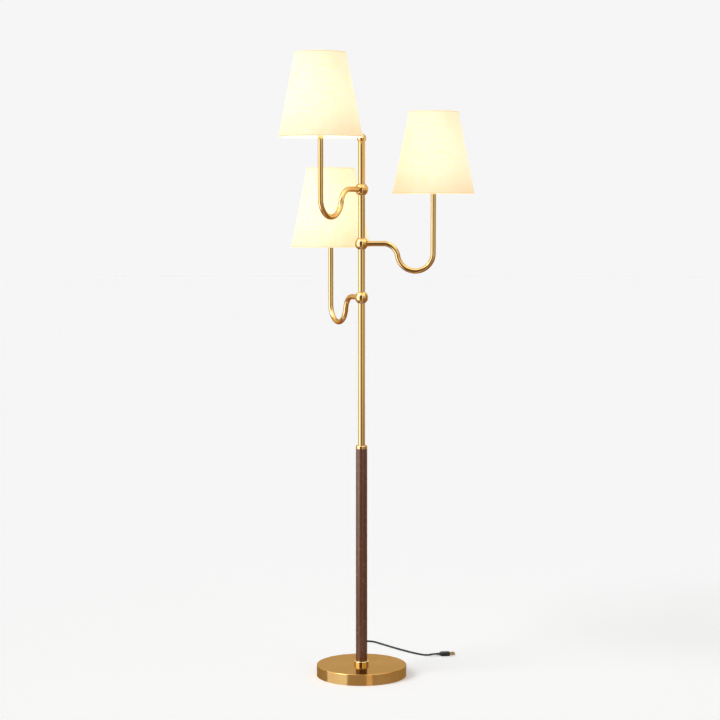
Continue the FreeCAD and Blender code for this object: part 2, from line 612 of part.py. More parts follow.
for name, height, angle in ARMS:
    on_hub = {"z": height, "angle": angle}
    on_shade_axis = {
        "x": f"arm_reach * cos({angle})",
        "y": f"arm_reach * sin({angle})",
        "z": f"{height} + shade_rise",
        "angle": angle,
    }
    place(hub_ball(name), **on_hub)
    place(swept(f"{name}_arm_tube", ["arm_diameter / 2", "arm_diameter / 2 - arm_wall"],
                "shade_rise + tube_end"), **on_hub)
    place(turned(f"{name}_holder_cup", [
        ("arm_diameter / 2 + fit_gap", "cup_bottom"),
        ("cup_radius - cup_edge_radius", "cup_bottom"),
        ("cup_radius", "cup_bottom + cup_edge_radius", "cup_edge_radius"),
        ("cup_radius", "cup_top"),
        ("holder_foot_radius + fit_gap", "cup_top"),
        ("holder_foot_radius + fit_gap", "holder_bottom - fit_gap"),
        ("arm_diameter / 2 + fit_gap", "holder_bottom - fit_gap"),
    ]), **on_shade_axis)
    place(lampholder(name), **on_shade_axis)
    place(turned(f"{name}_switch_knob", [
        ("knob_stem_start", "0"),
        ("knob_stem_start", "knob_stem_radius"),
        ("knob_start", "knob_stem_radius"),
        ("knob_start", "knob_radius"),
        ("knob_start + knob_length", "knob_tip_radius"),
        ("knob_start + knob_length", "0"),
    ], about="H_Axis"), **{**on_shade_axis, "z": f"{height} + shade_rise + knob_height"})
    place(turned(f"{name}_shade_ring", [
        ("holder_thread_radius + fit_gap", "holder_shoulder + carrier_thickness + 2 * fit_gap"),
        ("ring_radius", "holder_shoulder + carrier_thickness + 2 * fit_gap"),
        ("ring_radius", "holder_shoulder + carrier_thickness + ring_height"),
        ("holder_thread_radius + fit_gap", "holder_shoulder + carrier_thickness + ring_height"),
    ]), **on_shade_axis)
    place(shade_frame(name), **on_shade_axis)
    place(turned(f"{name}_shade", [
        ("shade_bottom_diameter / 2 - fabric_thickness", "0"),
        ("shade_bottom_diameter / 2", "0"),
        ("shade_top_diameter / 2", "shade_height"),
        ("shade_top_diameter / 2 - fabric_thickness", "shade_height"),
    ]), **on_shade_axis)
    place(turned(f"{name}_bulb_cap", [
        ("0", CAP_BOTTOM),
        ("cap_contact_radius", CAP_BOTTOM),
        ("cap_contact_radius", f"{CAP_BOTTOM} + cap_contact_height"),
        ("cap_radius", f"{CAP_BOTTOM} + cap_contact_height + cap_shoulder_height"),
        ("cap_radius", "holder_top"),
        ("0", "holder_top"),
    ]), **on_shade_axis)
    place(turned(f"{name}_bulb_glass", [
        ("bulb_neck - bulb_wall", GLASS_BOTTOM),
        ("bulb_neck", GLASS_BOTTOM),
        ("bulb_neck", NECK_LEVEL),
        (TANGENT_RADIUS, TANGENT_LEVEL),
        ("0", "bulb_centre + bulb_radius", "bulb_radius"),
        ("0", "bulb_centre + bulb_radius - bulb_wall"),
        (INNER_RADIUS, INNER_LEVEL, "-(bulb_radius - bulb_wall)"),
        ("bulb_neck - bulb_wall", NECK_LEVEL),
    ]), **on_shade_axis)
    place(swept(f"{name}_arm_wire", ["inner_wire_diameter / 2"],
                "shade_rise + holder_bottom - fit_gap"), **on_hub)

# --------------------------------------------------------------------------- the mains lead
ARC_SHARE = 0.45


def rounded_wire(points):
    """Straight runs joined by tangent arcs; each arc takes ARC_SHARE of its shorter run, so its
    radius is that length over the tangent of half the turn. Returns the wire and the least radius."""
    edges, radii, here = [], [], points[0]
    for before, corner, after in zip(points, points[1:], points[2:]):
        back, ahead = before - corner, after - corner
        half_turn = (math.pi - back.getAngle(ahead)) / 2
        setback = ARC_SHARE * min(back.Length, ahead.Length)
        radii.append(setback / math.tan(half_turn))
        first, last = corner + back.normalize() * setback, corner + ahead.normalize() * setback
        inward = (back + ahead).normalize()
        middle = corner + inward * (radii[-1] / math.cos(half_turn) - radii[-1])
        edges += [Part.LineSegment(here, first).toShape(), Part.Arc(first, middle, last).toShape()]
        here = last
    edges.append(Part.LineSegment(here, points[-1]).toShape())
    return Part.Wire(edges), min(radii)


def solid_along(path, radius):
    """A round tube, pipe shell in default mode, square to the start of its path."""
    start = path.Edges[0]
    direction = start.tangentAt(start.FirstParameter)
    ring = Part.Circle(start.valueAt(start.FirstParameter), direction, radius)
    shell = Part.BRepOffsetAPI.MakePipeShell(path)
    shell.add(Part.Wire([ring.toShape()]))
    shell.build()
    shell.makeSolid()
    return shell.shape()


def cord_piece(label, path, note):
    radius = number("cord_diameter / 2")
    solid = solid_along(path, radius)
    share = solid.Volume / (math.pi * radius**2 * path.Length)
    print(f"{label}: {path.Length:.1f} mm long, volume {share:.4f} of section times length, {note}")
    obj = keep(doc.addObject("Part::Feature", label + "_solid"), label)
    obj.Shape = solid
    return path.Length


RELIEF_START = f"({COVER_INSIDE} + fit_gap)"
RELIEF_FACE = "(base_diameter / 2 + fit_gap)"
RELIEF_BORE = "(cord_diameter / 2 + fit_gap)"
RELIEF_TIP = f"({RELIEF_START} + relief_length)"
relief = turned("cord_strain_relief", [
    (RELIEF_START, RELIEF_BORE),
    (RELIEF_START, "relief_radius"),
    (RELIEF_FACE, "relief_radius"),
    (RELIEF_FACE, "relief_head_radius"),
    (f"{RELIEF_FACE} + relief_head_length", "relief_head_radius"),
    (RELIEF_TIP, "relief_tip_radius"),
    (RELIEF_TIP, RELIEF_BORE),
], role="YZ_Plane", about="H_Axis")
place(relief, z="cord_exit_height")

coil_step = number("coil_pitch") / 2
coil_radius, coil_level = number("coil_radius"), number(CORD_FLOOR)
straight = number("cord_diameter")
coil_y = number("coil_back")
relief_tip, exit_height = number(RELIEF_TIP), number("cord_exit_height")

# Out of the foot the lead sinks to the floor in a shallow S and meets the coil: the shares of that
# fall at evenly spaced points.
LEAD_SHARES = (0, 0, 0.25, 0.75, 1, 1)
lead_end = coil_y - straight
step = (lead_end - relief_tip) / (len(LEAD_SHARES) - 1)
sink = exit_height - coil_level
lead_points = [
    Vector(0, relief_tip + step * i, exit_height - sink * share) for i, share in enumerate(LEAD_SHARES)
]
lead_points[0] = Vector(0, number(f"{RELIEF_START} + lead_inset"), exit_height)
lead_wire, lead_radius = rounded_wire(lead_points)


def half_turn(start, end, heading):
    """Two arcs of a quarter turn from start to end, which leave along heading and arrive against it."""
    across = end - start
    middle = (start + end) * 0.5 + heading * (across.Length / 2)
    quarters = []
    for near in (start, end):
        chord = middle - near
        corner = near + heading * (across.Length / 2)
        outward = corner - (near + middle) * 0.5
        sagitta = chord.Length / 2 * math.tan(math.atan2(outward.Length, chord.Length / 2) / 2)
        crown = (near + middle) * 0.5 + outward.normalize() * sagitta
        quarters.append((near, crown, middle))
    (_, crown_in, _), (_, crown_out, _) = quarters
    return [Part.Arc(start, crown_in, middle).toShape(), Part.Arc(middle, crown_out, end).toShape()]


def coil_wire():
    """Half turns that draw in on the floor, climb a layer, and widen again on top.

    Returns the path, and its stations: where each half turn starts and which way it heads."""
    inward, outward = int(number("coil_inward_half_turns")), int(number("coil_outward_half_turns"))
    radii = [coil_radius - coil_step * k for k in range(inward + 1)]
    radii[-1] -= number("coil_draw_in")
    radii.append(radii[-1])
    radii += [coil_radius - coil_step * (inward - k) for k in range(1, outward + 1)]
    levels = [coil_level] * (inward + 1) + [coil_level + number("coil_pitch")] * (outward + 1)
    centre = Vector(-coil_radius, coil_y, 0)
    edges = []
    places = []
    for k, (radius, level) in enumerate(zip(radii, levels)):
        side = 1 if k % 2 == 0 else -1
        places.append(centre + Vector(side * radius, 0, level))
    first, last = places[0], places[-1]
    edges.append(Part.LineSegment(first - Vector(0, straight, 0), first).toShape())
    for k, (start, end) in enumerate(zip(places, places[1:])):
        edges += half_turn(start, end, Vector(0, 1 if k % 2 == 0 else -1, 0))
    edges.append(Part.LineSegment(last, last + Vector(0, straight, 0)).toShape())
    return Part.Wire(edges), last + Vector(0, straight, 0), 2 * min(radii)


coil_path, coil_end, coil_least = coil_wire()


def least_gap(path, diameter, spacing=1.5):
    """Least clear distance between stretches of one path that are over two diameters apart along it."""
    points = path.discretize(Distance=spacing)
    away = int(math.ceil(2.2 * diameter / spacing))
    nearest = min(
        (p - q).Length for i, p in enumerate(points) for q in points[i + away:]
    )
    return nearest - diameter


# From the coil back behind the column, round to the right, and forward to the plug.
floor_level, top_level = coil_level, coil_end.z
plug_level = number(PLUG_AXIS)
run_points = [coil_end] + [Vector(*p) for p in [
    (coil_end.x, 177, top_level),
    (-4.2, 191, 6.3),
    (-6.6, 205, 3.6),
    (-9.5, 222, floor_level),
    (-14.5, 248, floor_level),
    (-22.5, 280, floor_level),
    (-28, 312, floor_level),
    (-32.6, 340, floor_level),
    (-32.3, 365.8, floor_level),
    (-22.3, 380.1, floor_level),
    (-5.8, 386.1, floor_level),
    (11.2, 381.6, floor_level),
    (23.2, 367.3, floor_level),
    (38.5, 349.5, floor_level),
    (62, 321.5, floor_level),
    (92, 288, floor_level),
    (125, 254.5, floor_level),
    (150, 233.5, floor_level),
    (164, 226.2, floor_level),
    (175, 224.9, 3.3),
    (185.5, 226.75, plug_level),
    (196, 228.7, plug_level),
]]
run_wire, run_radius = rounded_wire(run_points)

lead_length = cord_piece("cord_lead", lead_wire, f"least radius {lead_radius:.1f} mm")
coil_gap = least_gap(coil_path, number("cord_diameter"))
coil_length = cord_piece("cord_coil", coil_path,
                         f"least radius {coil_least / 2:.1f} mm, least gap to itself {coil_gap:.2f} mm")
run_length = cord_piece("cord_run", run_wire, f"least radius {run_radius:.1f} mm")
print(f"cord: {lead_length + coil_length + run_length:.0f} mm in all, {number('cord_diameter')} mm thick")

# The plug continues the lead's last run.
plug_heading = math.degrees(math.atan2(run_points[-1].y - run_points[-2].y,
                                       run_points[-1].x - run_points[-2].x))
plug = keep(doc.addObject("PartDesign::Body", "plug_block"), "plug_body")
PLUG_FACE = "(plug_neck + plug_length)"
block = new_sketch(plug, "plug_section", "YZ_Plane", "plug_neck")
add_outline(block, [
    ("-plug_width / 2", "-plug_thickness / 2"),
    ("plug_width / 2", "-plug_thickness / 2"),
    ("plug_width / 2", "plug_thickness / 2"),
    ("-plug_width / 2", "plug_thickness / 2"),
])
pad_block = plug.newObject("PartDesign::Pad", "plug_pad")
pad_block.Profile = block
bind(pad_block, Length="plug_length")
doc.recompute()
tail = new_sketch(plug, "plug_tail_outline", "XZ_Plane")
add_outline(tail, [
    ("fit_gap", "0"),
    ("fit_gap", "relief_tip_radius"),
    ("plug_neck + plug_tail_overlap", "plug_thickness / 2 - plug_tail_step"),
    ("plug_neck + plug_tail_overlap", "0"),
])
tail_turn = plug.newObject("PartDesign::Revolution", "plug_tail")
tail_turn.Profile = tail
tail_turn.ReferenceAxis = (tail, ["H_Axis"])
tail_turn.Angle = 360
doc.recompute()
long_edges = [
    f"Edge{i}" for i, edge in enumerate(plug.Shape.Edges, start=1)
    if edge.Curve.TypeId == "Part::GeomLine" and abs(edge.tangentAt(edge.FirstParameter).x) > 0.99
    and edge.Length > number("plug_length") - 0.5 and edge.Vertexes[0].Point.y != 0
]
rounding = plug.newObject("PartDesign::Fillet", "plug_rounding")
rounding.Base = (tail_turn, long_edges)
bind(rounding, Radius="plug_edge_radius")
doc.recompute()

blades = []
for side in (-1, 1):
    blade = bind(doc.addObject("Part::Box", f"blade_{side + 1}"), Length="blade_length",
                 Width="blade_thickness", Height="blade_width")
    place(blade, x=f"{PLUG_FACE} + fit_gap", y=f"{side} * blade_spacing / 2 - blade_thickness / 2",
          z="-blade_width / 2")
    blades.append(blade)
plug_blades = group("plug_blades", blades)
for piece in (plug, plug_blades):
    piece.Placement = FreeCAD.Placement(run_points[-1], FreeCAD.Rotation(Vector(0, 0, 1), plug_heading))

# --------------------------------------------------------------------------- check and write
doc.recompute()
for obj in doc.Objects:
    if "Invalid" in obj.State or "Error" in obj.State:
        raise RuntimeError(f"{obj.Label}: {obj.State}")
for piece in subparts:
    if piece.Shape.isNull() or not piece.Shape.isValid() or not piece.Shape.Solids:
        raise RuntimeError(f"{piece.Label} has no valid solid")
os.makedirs("parts", exist_ok=True)
for piece in subparts:
    piece.Shape.exportStep(f"parts/{piece.Label}.step")
print(f"{len(subparts)} sub-parts, {sum(len(p.Shape.Solids) for p in subparts)} solids")
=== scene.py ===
# %% [markdown]
# # A tree floor lamp, dressed for its portrait
# The lamp stands on a brass disc foot. A leather-wrapped column carries a slim brass pole with three
# ball hubs, and each hub swings one curved arm with a lit linen shade. The construction comes from
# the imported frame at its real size, so nothing is moved here: this lesson gives each piece its
# finish, and models what is soft or fine, such as the shades, the leather's seam and the mains lead.
# Everything is in metres, +Z up, with the floor at zero and the middle arm along +X.

# %% Load the frame
import math

import bpy
import numpy as np
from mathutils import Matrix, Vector


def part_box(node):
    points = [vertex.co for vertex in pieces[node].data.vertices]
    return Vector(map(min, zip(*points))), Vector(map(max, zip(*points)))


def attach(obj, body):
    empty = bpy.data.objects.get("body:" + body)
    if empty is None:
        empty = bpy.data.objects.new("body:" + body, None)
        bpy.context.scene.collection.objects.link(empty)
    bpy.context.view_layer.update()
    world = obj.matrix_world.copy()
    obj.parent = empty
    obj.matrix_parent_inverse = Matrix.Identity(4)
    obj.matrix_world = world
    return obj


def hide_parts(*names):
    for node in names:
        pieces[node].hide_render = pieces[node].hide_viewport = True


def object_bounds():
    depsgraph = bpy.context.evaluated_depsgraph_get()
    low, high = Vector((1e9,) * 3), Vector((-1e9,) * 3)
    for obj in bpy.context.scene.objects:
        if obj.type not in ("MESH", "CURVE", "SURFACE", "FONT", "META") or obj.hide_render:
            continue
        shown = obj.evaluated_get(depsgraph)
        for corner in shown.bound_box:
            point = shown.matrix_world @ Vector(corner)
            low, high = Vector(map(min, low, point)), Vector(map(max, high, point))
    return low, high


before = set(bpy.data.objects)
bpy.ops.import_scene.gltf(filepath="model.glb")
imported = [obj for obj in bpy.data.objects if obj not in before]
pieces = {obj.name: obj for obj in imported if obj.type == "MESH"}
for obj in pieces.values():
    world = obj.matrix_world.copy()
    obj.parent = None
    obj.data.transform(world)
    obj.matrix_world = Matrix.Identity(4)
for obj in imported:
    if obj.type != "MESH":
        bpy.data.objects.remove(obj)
cad_box = [list(corner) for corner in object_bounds()]
ARMS = ("lower", "middle", "upper")
low_corner, high_corner = ([round(v, 4) for v in corner] for corner in cad_box)
print(len(pieces), "pieces, from", low_corner, "to", high_corner)

# %% [markdown]
# ## The camera
# A camera could be placed by eye, but the photograph settles it: the foot's ellipse gives the dip,
# and the places of the three shades give the turn, the height and the distance. It stands almost
# five metres off with a long lens, which keeps the pole straight and the shades nearly square on.

# %% Place the camera
CAMERA_TURN = math.radians(3.63)
CAMERA_DIP = math.radians(4.56)
CAMERA_DISTANCE = 4.962
CAMERA_HEIGHT = 1.2424
CAMERA_ASIDE = -0.0042
SENSOR_WIDTH = 36
LENS = 94.1

lens = bpy.data.cameras.new("portrait_lens")
lens.sensor_width, lens.lens = SENSOR_WIDTH, LENS
lens.clip_start, lens.clip_end = 0.1, 200
camera = bpy.data.objects.new("portrait_camera", lens)
bpy.context.scene.collection.objects.link(camera)
cos_turn, sin_turn = math.cos(CAMERA_TURN), math.sin(CAMERA_TURN)
camera.location = (
    cos_turn * CAMERA_ASIDE + sin_turn * CAMERA_DISTANCE,
    sin_turn * CAMERA_ASIDE - cos_turn * CAMERA_DISTANCE,
    CAMERA_HEIGHT,
)
camera.rotation_euler = (math.pi / 2 - CAMERA_DIP, 0, CAMERA_TURN)
bpy.context.scene.camera = camera
print("camera at", [round(v, 3) for v in camera.location])

# %% [markdown]
# ## The mains lead
# The lead leaves the back of the foot through a strain relief, lies in a neat coil of two layers
# behind the foot, and then runs back, round and out to the right, where its plug lies on the floor.
# A tube could be built ring by ring. A spline with a round bevel is lighter, and it bends as a real
# lead does, because one smooth curve follows the coil's turns and the listed points after it.

# %% Wind the coil
CORD_DIAMETER = 0.005
CORD_FLOOR = 0.00255
COIL_PITCH = 0.0056
CORD_TOP = CORD_FLOOR + COIL_PITCH
COIL_RADIUS = 0.0355
COIL_START_Y = 0.1583
INWARD_HALF_TURNS = 7
OUTWARD_HALF_TURNS = 6
DRAW_IN = 0.0009
STEPS_PER_HALF_TURN = 12


def coil_points():
    """Half turns that draw in by half a pitch each, one that climbs a layer, and others that widen.

    Each half turn is a half circle between two stations on the coil's own X axis. The stations
    alternate from side to side, and a point on it is the middle plus the half circle's radius
    times the cosine and sine of an angle that grows by pi."""
    reach = [COIL_RADIUS - COIL_PITCH / 2 * k for k in range(INWARD_HALF_TURNS + 1)]
    outwards = reach[::-1][1:OUTWARD_HALF_TURNS + 1]
    reach[-1] -= DRAW_IN
    reach += [reach[-1], *outwards]
    level = [CORD_FLOOR] * (INWARD_HALF_TURNS + 1) + [CORD_TOP] * (OUTWARD_HALF_TURNS + 1)
    stations = [(-COIL_RADIUS + (-1) ** k * r, z) for k, (r, z) in enumerate(zip(reach, level))]
    points = []
    for k, ((x_from, z_from), (x_to, z_to)) in enumerate(zip(stations, stations[1:])):
        middle, radius = (x_from + x_to) / 2, abs(x_to - x_from) / 2
        share = np.arange(STEPS_PER_HALF_TURN) / STEPS_PER_HALF_TURN
        angle = math.pi * (k + share)
        points.append(np.stack([
            middle + radius * np.cos(angle),
            COIL_START_Y + radius * np.sin(angle),
            z_from + (z_to - z_from) * share,
        ], axis=1))
    points.append([(stations[-1][0], COIL_START_Y, stations[-1][1])])
    return np.concatenate(points)


coil = coil_points()
print(len(coil), "points in the coil")

# %% Lay the lead's route
lead_points = [
    (0, 0.11905, 0.0038), (0, 0.1415, 0.0038), (0, 0.14445, 0.0034875),
    (0, 0.1474, 0.0028625), (0, 0.15035, CORD_FLOOR), (0, 0.1533, CORD_FLOOR),
]
run_points = [
    (-0.0028, 0.1633, CORD_TOP), (-0.0028, 0.177, CORD_TOP), (-0.0042, 0.191, 0.0063),
    (-0.0066, 0.205, 0.0036), (-0.0095, 0.222, CORD_FLOOR), (-0.0145, 0.248, CORD_FLOOR),
    (-0.0225, 0.28, CORD_FLOOR), (-0.028, 0.312, CORD_FLOOR), (-0.0326, 0.34, CORD_FLOOR),
    (-0.0323, 0.3658, CORD_FLOOR), (-0.0223, 0.3801, CORD_FLOOR), (-0.0058, 0.3861, CORD_FLOOR),
    (0.0112, 0.3816, CORD_FLOOR), (0.0232, 0.3673, CORD_FLOOR), (0.0385, 0.3495, CORD_FLOOR),
    (0.062, 0.3215, CORD_FLOOR), (0.092, 0.288, CORD_FLOOR), (0.125, 0.2545, CORD_FLOOR),
    (0.15, 0.2335, CORD_FLOOR), (0.164, 0.2262, CORD_FLOOR), (0.175, 0.2249, 0.0033),
    (0.1855, 0.22675, 0.00555), (0.196, 0.2287, 0.00555),
]
route = np.concatenate([lead_points, coil, run_points])
line = bpy.data.curves.new("mains_lead", "CURVE")
line.dimensions = "3D"
spline = line.splines.new("NURBS")
spline.points.add(len(route) - 1)
spline.points.foreach_set("co", np.column_stack([route, np.ones(len(route))]).ravel())
spline.points.foreach_set("radius", np.full(len(route), CORD_DIAMETER / 2))
spline.order_u = 3
spline.use_endpoint_u = True
line.resolution_u = line.render_resolution_u = 4
line.bevel_depth = 1.0
line.bevel_resolution = 4
line.use_fill_caps = True
mains_lead = bpy.data.objects.new("mains_lead", line)
bpy.context.scene.collection.objects.link(mains_lead)
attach(mains_lead, "stand")
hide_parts("cord_lead", "cord_coil", "cord_run")
print(len(route), "points from the foot to the plug")

# %% [markdown]
# ## Surfaces from formulas
# Everything that is modelled here is a sheet of squares over two numbers: how far along a profile,
# and how far around. Blender could spin or extrude these shapes, but a formula over whole arrays
# says exactly what the shape is, and it can add a seam, a hem or a rib with one more term.

# %% Join a grid of points into a surface
def grid_faces(rows, columns, wrap_rows=False, wrap_columns=False):
    """Four corners of each square of the grid: a point, the next one around, the one past it on the
    next row, and the next row's own. A wrapped direction joins its last line to its first."""
    along = np.arange(rows if wrap_rows else rows - 1)
    around = np.arange(columns if wrap_columns else columns - 1)
    i, j = (a.ravel() for a in np.meshgrid(along, around, indexing="ij"))
    i_next, j_next = (i + 1) % rows, (j + 1) % columns
    return np.stack([i * columns + j, i * columns + j_next,
                     i_next * columns + j_next, i_next * columns + j], axis=1)


def make_piece(name, vertices, faces, body, loop_uv=None):
    """A smooth mesh object at the origin that rides on a body, with a UV map called cloth when one is
    given.
    """
    mesh = bpy.data.meshes.new(name)
    mesh.from_pydata(vertices.tolist(), [], faces if isinstance(faces, list) else faces.tolist())
    mesh.shade_smooth()
    if loop_uv is not None:
        mesh.uv_layers.new(name="cloth").uv.foreach_set("vector", loop_uv.astype(np.float32).ravel())
    piece = bpy.data.objects.new(name, mesh)
    bpy.context.scene.collection.objects.link(piece)
    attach(piece, body)
    return piece


def carried_round(radius, level, angle, axis=(0, 0)):
    """Each point of a profile at each angle round an upright axis: x and y are the axis plus the
    radius times the angle's cosine and sine, and z is the profile's height."""
    x = axis[0] + radius * np.cos(angle)
    y = axis[1] + radius * np.sin(angle)
    return np.stack([x, y, np.broadcast_to(level[:, None], x.shape)], axis=-1).reshape(-1, 3)


def soft_step(value, low, high):
    """0 below low, 1 above high, and a smooth S between them."""
    share = np.clip((value - low) / (high - low), 0, 1)
    return share * share * (3 - 2 * share)


print("helpers for grids and pieces are ready")

# %% [markdown]
# ## Shader tools
# A finish is a small graph of nodes. These helpers keep each graph short to read: one adds a node
# with its settings and inputs, and the others do sums, ranges and blends. Effects that several
# finishes share are node groups with named inputs, built once and placed with other values.

# %% Node helpers
def node(tree, kind, inputs=None, **settings):
    """Adds one shader node. An input is a number, a colour, or another node's output."""
    made = tree.nodes.new("ShaderNode" + kind)
    for key, value in settings.items():
        setattr(made, key, value)
    for key, value in (inputs or {}).items():
        if isinstance(value, bpy.types.NodeSocket):
            tree.links.new(value, made.inputs[key])
        else:
            made.inputs[key].default_value = value
    return made


def maths(tree, operation, *values):
    """One sum of one, two or three numbers."""
    return node(tree, "Math", dict(enumerate(values)), operation=operation).outputs[0]


def rerange(tree, value, low, high, new_low=0.0, new_high=1.0):
    """Moves a number from one range to another, and holds it inside."""
    return node(tree, "MapRange", {"Value": value, "From Min": low, "From Max": high,
                                   "To Min": new_low, "To Max": new_high}).outputs[0]


def blend_colours(tree, share, first, second, blend_type="MIX"):
    """first where share is 0, second where it is 1."""
    made = node(tree, "Mix", {0: share, 6: first, 7: second}, data_type="RGBA", blend_type=blend_type)
    return made.outputs[2]


def stretched(tree, vector, scale):
    """The same pattern space, scaled by three numbers: a small one draws the pattern out."""
    return node(tree, "Mapping", {"Vector": vector, "Scale": scale}).outputs[0]


def object_place(tree):
    """The point on the piece in metres, which stays with the piece as it moves."""
    return node(tree, "TexCoord").outputs["Object"]


def new_group(name, inputs, outputs):
    """An empty node group with its named sockets, and its two end nodes."""
    group = bpy.data.node_groups.new(name, "ShaderNodeTree")
    for label, kind, value in inputs:
        socket = group.interface.new_socket(label, in_out="INPUT", socket_type="NodeSocket" + kind)
        if value is not None:
            socket.default_value = value
    for label, kind in outputs:
        group.interface.new_socket(label, in_out="OUTPUT", socket_type="NodeSocket" + kind)
    return group, group.nodes.new("NodeGroupInput"), group.nodes.new("NodeGroupOutput")


def new_finish(name):
    """A material with its tree and its one shader."""
    finish = bpy.data.materials.new(name)
    finish.use_nodes = True
    return finish, finish.node_tree, finish.node_tree.nodes["Principled BSDF"]


def plain(shader, **values):
    """Sets the shader's own sockets, named with underscores for their spaces."""
    for key, value in values.items():
        shader.inputs[key.replace("_", " ")].default_value = value


def feed(tree, shader, **sources):
    """Joins outputs to the shader's own sockets."""
    for key, value in sources.items():
        tree.links.new(value, shader.inputs[key.replace("_", " ")])


def bumped(tree, height, strength, distance):
    """A normal that leans with the height's slope, for relief too fine to model."""
    return node(tree, "Bump", {"Height": height, "Strength": strength,
                               "Distance": distance}).outputs[0]


print("node helpers are ready")

# %% [markdown]
# ### Fine grain
# Handled metal, moulded plastic and waxed leather are never even. One group makes that unevenness:
# a fine grain and a broad cloud, both from noise in the piece's own space, drawn out along any axis.

# %% Group: fine grain
def build_fine_grain():
    """Grain = noise at the given scale; Cloud = noise twenty times broader; both from 0 to 1."""
    group, start, end = new_group(
        "fine_grain",
        [("Place", "Vector", None), ("Scale", "Float", 400.0), ("Detail", "Float", 3.0)],
        [("Grain", "Float"), ("Cloud", "Float")],
    )
    grain = node(group, "TexNoise", {"Vector": start.outputs["Place"], "Scale": start.outputs["Scale"],
                                     "Detail": start.outputs["Detail"], "Roughness": 0.6})
    broad = maths(group, "MULTIPLY", start.outputs["Scale"], 0.05)
    cloud = node(group, "TexNoise", {"Vector": start.outputs["Place"], "Scale": broad, "Detail": 2.0})
    group.links.new(grain.outputs[0], end.inputs["Grain"])
    group.links.new(cloud.outputs[0], end.inputs["Cloud"])
    return group


fine_grain = build_fine_grain()


def grain_of(tree, place, scale, detail=3.0):
    """Places the fine grain group and gives its two outputs."""
    made = node(tree, "Group", {"Place": place, "Scale": scale, "Detail": detail},
                node_tree=fine_grain)
    return made.outputs["Grain"], made.outputs["Cloud"]


print("group:", fine_grain.name)

# %% [markdown]
# ### Linen weave
# Linen is woven from uneven yarn: warp and weft cross about every millimetre, and here and there a
# thick slub shows as a short darker bar. A picture of cloth could be wrapped round, but two crossed
# waves with stretched noise give every yarn its own course, at the right scale, from any distance.

# %% Group: linen weave
YARN_PITCH = 0.0011
YARN_WANDER = (0.0012, 0.0012, 0.0)
SLUBS = (((20.0, 300.0, 1.0), 0.42, 0.68), ((290.0, 18.0, 1.0), 0.44, 0.70))


def build_linen_weave():
    """The crossing is the higher of two waves along warp and weft, and slubs are noise drawn out
    either way. Density is how thick the cloth is there, and Height is the yarns' relief: both are
    the crossing plus the slubs, in their own shares. Cloth is the UV map, in metres."""
    group, start, end = new_group(
        "linen_weave",
        [("Cloth", "Vector", None), ("Pitch", "Float", YARN_PITCH)],
        [("Density", "Float"), ("Height", "Float")],
    )
    cloth = start.outputs["Cloth"]
    wander = node(group, "TexNoise", {"Vector": cloth, "Scale": 90.0, "Detail": 2.0})
    drift = node(group, "VectorMath", {0: wander.outputs[1], 1: YARN_WANDER},
                 operation="MULTIPLY").outputs[0]
    wandered = node(group, "VectorMath", {0: cloth, 1: drift}, operation="ADD").outputs[0]
    split = node(group, "SeparateXYZ", {0: wandered})
    turns = maths(group, "DIVIDE", 2 * math.pi, start.outputs["Pitch"])
    waves = []
    for axis in (0, 1):
        phase = maths(group, "MULTIPLY", split.outputs[axis], turns)
        waves.append(rerange(group, maths(group, "SINE", phase), -1, 1))
    crossing = maths(group, "MAXIMUM", waves[0], waves[1])
    slubs = 0.0
    for draw, thin, thick in SLUBS:
        uneven = node(group, "TexNoise", {"Vector": stretched(group, cloth, draw), "Scale": 1.0,
                                          "Detail": 4.0, "Roughness": 0.65})
        slubs = maths(group, "ADD", slubs, rerange(group, uneven.outputs[0], thin, thick))
    density = maths(group, "MULTIPLY_ADD", slubs, 0.38, maths(group, "MULTIPLY", crossing, 0.24))
    group.links.new(density, end.inputs["Density"])
    height = maths(group, "MULTIPLY_ADD", slubs, 0.5, crossing)
    group.links.new(height, end.inputs["Height"])
    return group


linen_weave = build_linen_weave()


def weave_of(tree):
    """Places the weave on the piece's own UV map."""
    cloth = node(tree, "UVMap", uv_map="cloth").outputs[0]
    made = node(tree, "Group", {"Cloth": cloth}, node_tree=linen_weave)
    return cloth, made.outputs["Density"], made.outputs["Height"]


print("group:", linen_weave.name)

# %% [markdown]
# ## Brass
# The pole, arms and balls are brass, polished and lacquered, and the collar is paler. The foot's
# cover is brass sheet, spun and brushed in circles, deeper in tone. Real brass is a metal colour that
# warms at steep angles, plus fine polishing lines that soften its reflections unevenly.

# %% Brass finishes
BRASS_PALE = (0.76, 0.50, 0.20, 1)
BRASS_DEEP = (0.70, 0.42, 0.14, 1)
BRASS_EDGE = (0.66, 0.46, 0.22, 1)
COLLAR_PALE = (0.95, 0.78, 0.40, 1)
COLLAR_DEEP = (0.92, 0.72, 0.34, 1)
POLISHING_DRAW = (1.0, 1.0, 0.12)
POLISHING_SCALE = 420.0


def brass_finish(name, pale, deep, smooth, rough):
    """Metal whose tone and roughness wander between two values along fine polishing lines."""
    finish, tree, shader = new_finish(name)
    lines, cloud = grain_of(tree, stretched(tree, object_place(tree), POLISHING_DRAW), POLISHING_SCALE)
    feed(tree, shader,
         Base_Color=blend_colours(tree, rerange(tree, cloud, 0.35, 0.65), pale, deep),
         Roughness=rerange(tree, lines, 0.3, 0.7, smooth, rough),
         Normal=bumped(tree, lines, 0.02, 0.0001))
    plain(shader, Metallic=1.0, Coat_Weight=0.25, Coat_Roughness=0.05, Specular_Tint=BRASS_EDGE)
    return finish


polished_brass = brass_finish("polished_brass", BRASS_PALE, BRASS_DEEP, 0.08, 0.12)
collar_brass = brass_finish("collar_brass", COLLAR_PALE, COLLAR_DEEP, 0.06, 0.10)
print("brass:", polished_brass.name, collar_brass.name)

# %% [markdown]
# The foot's cover is turned on a lathe, so its brushing runs in circles round the middle. Distance
# from the axis, with a little noise, gives those circles.

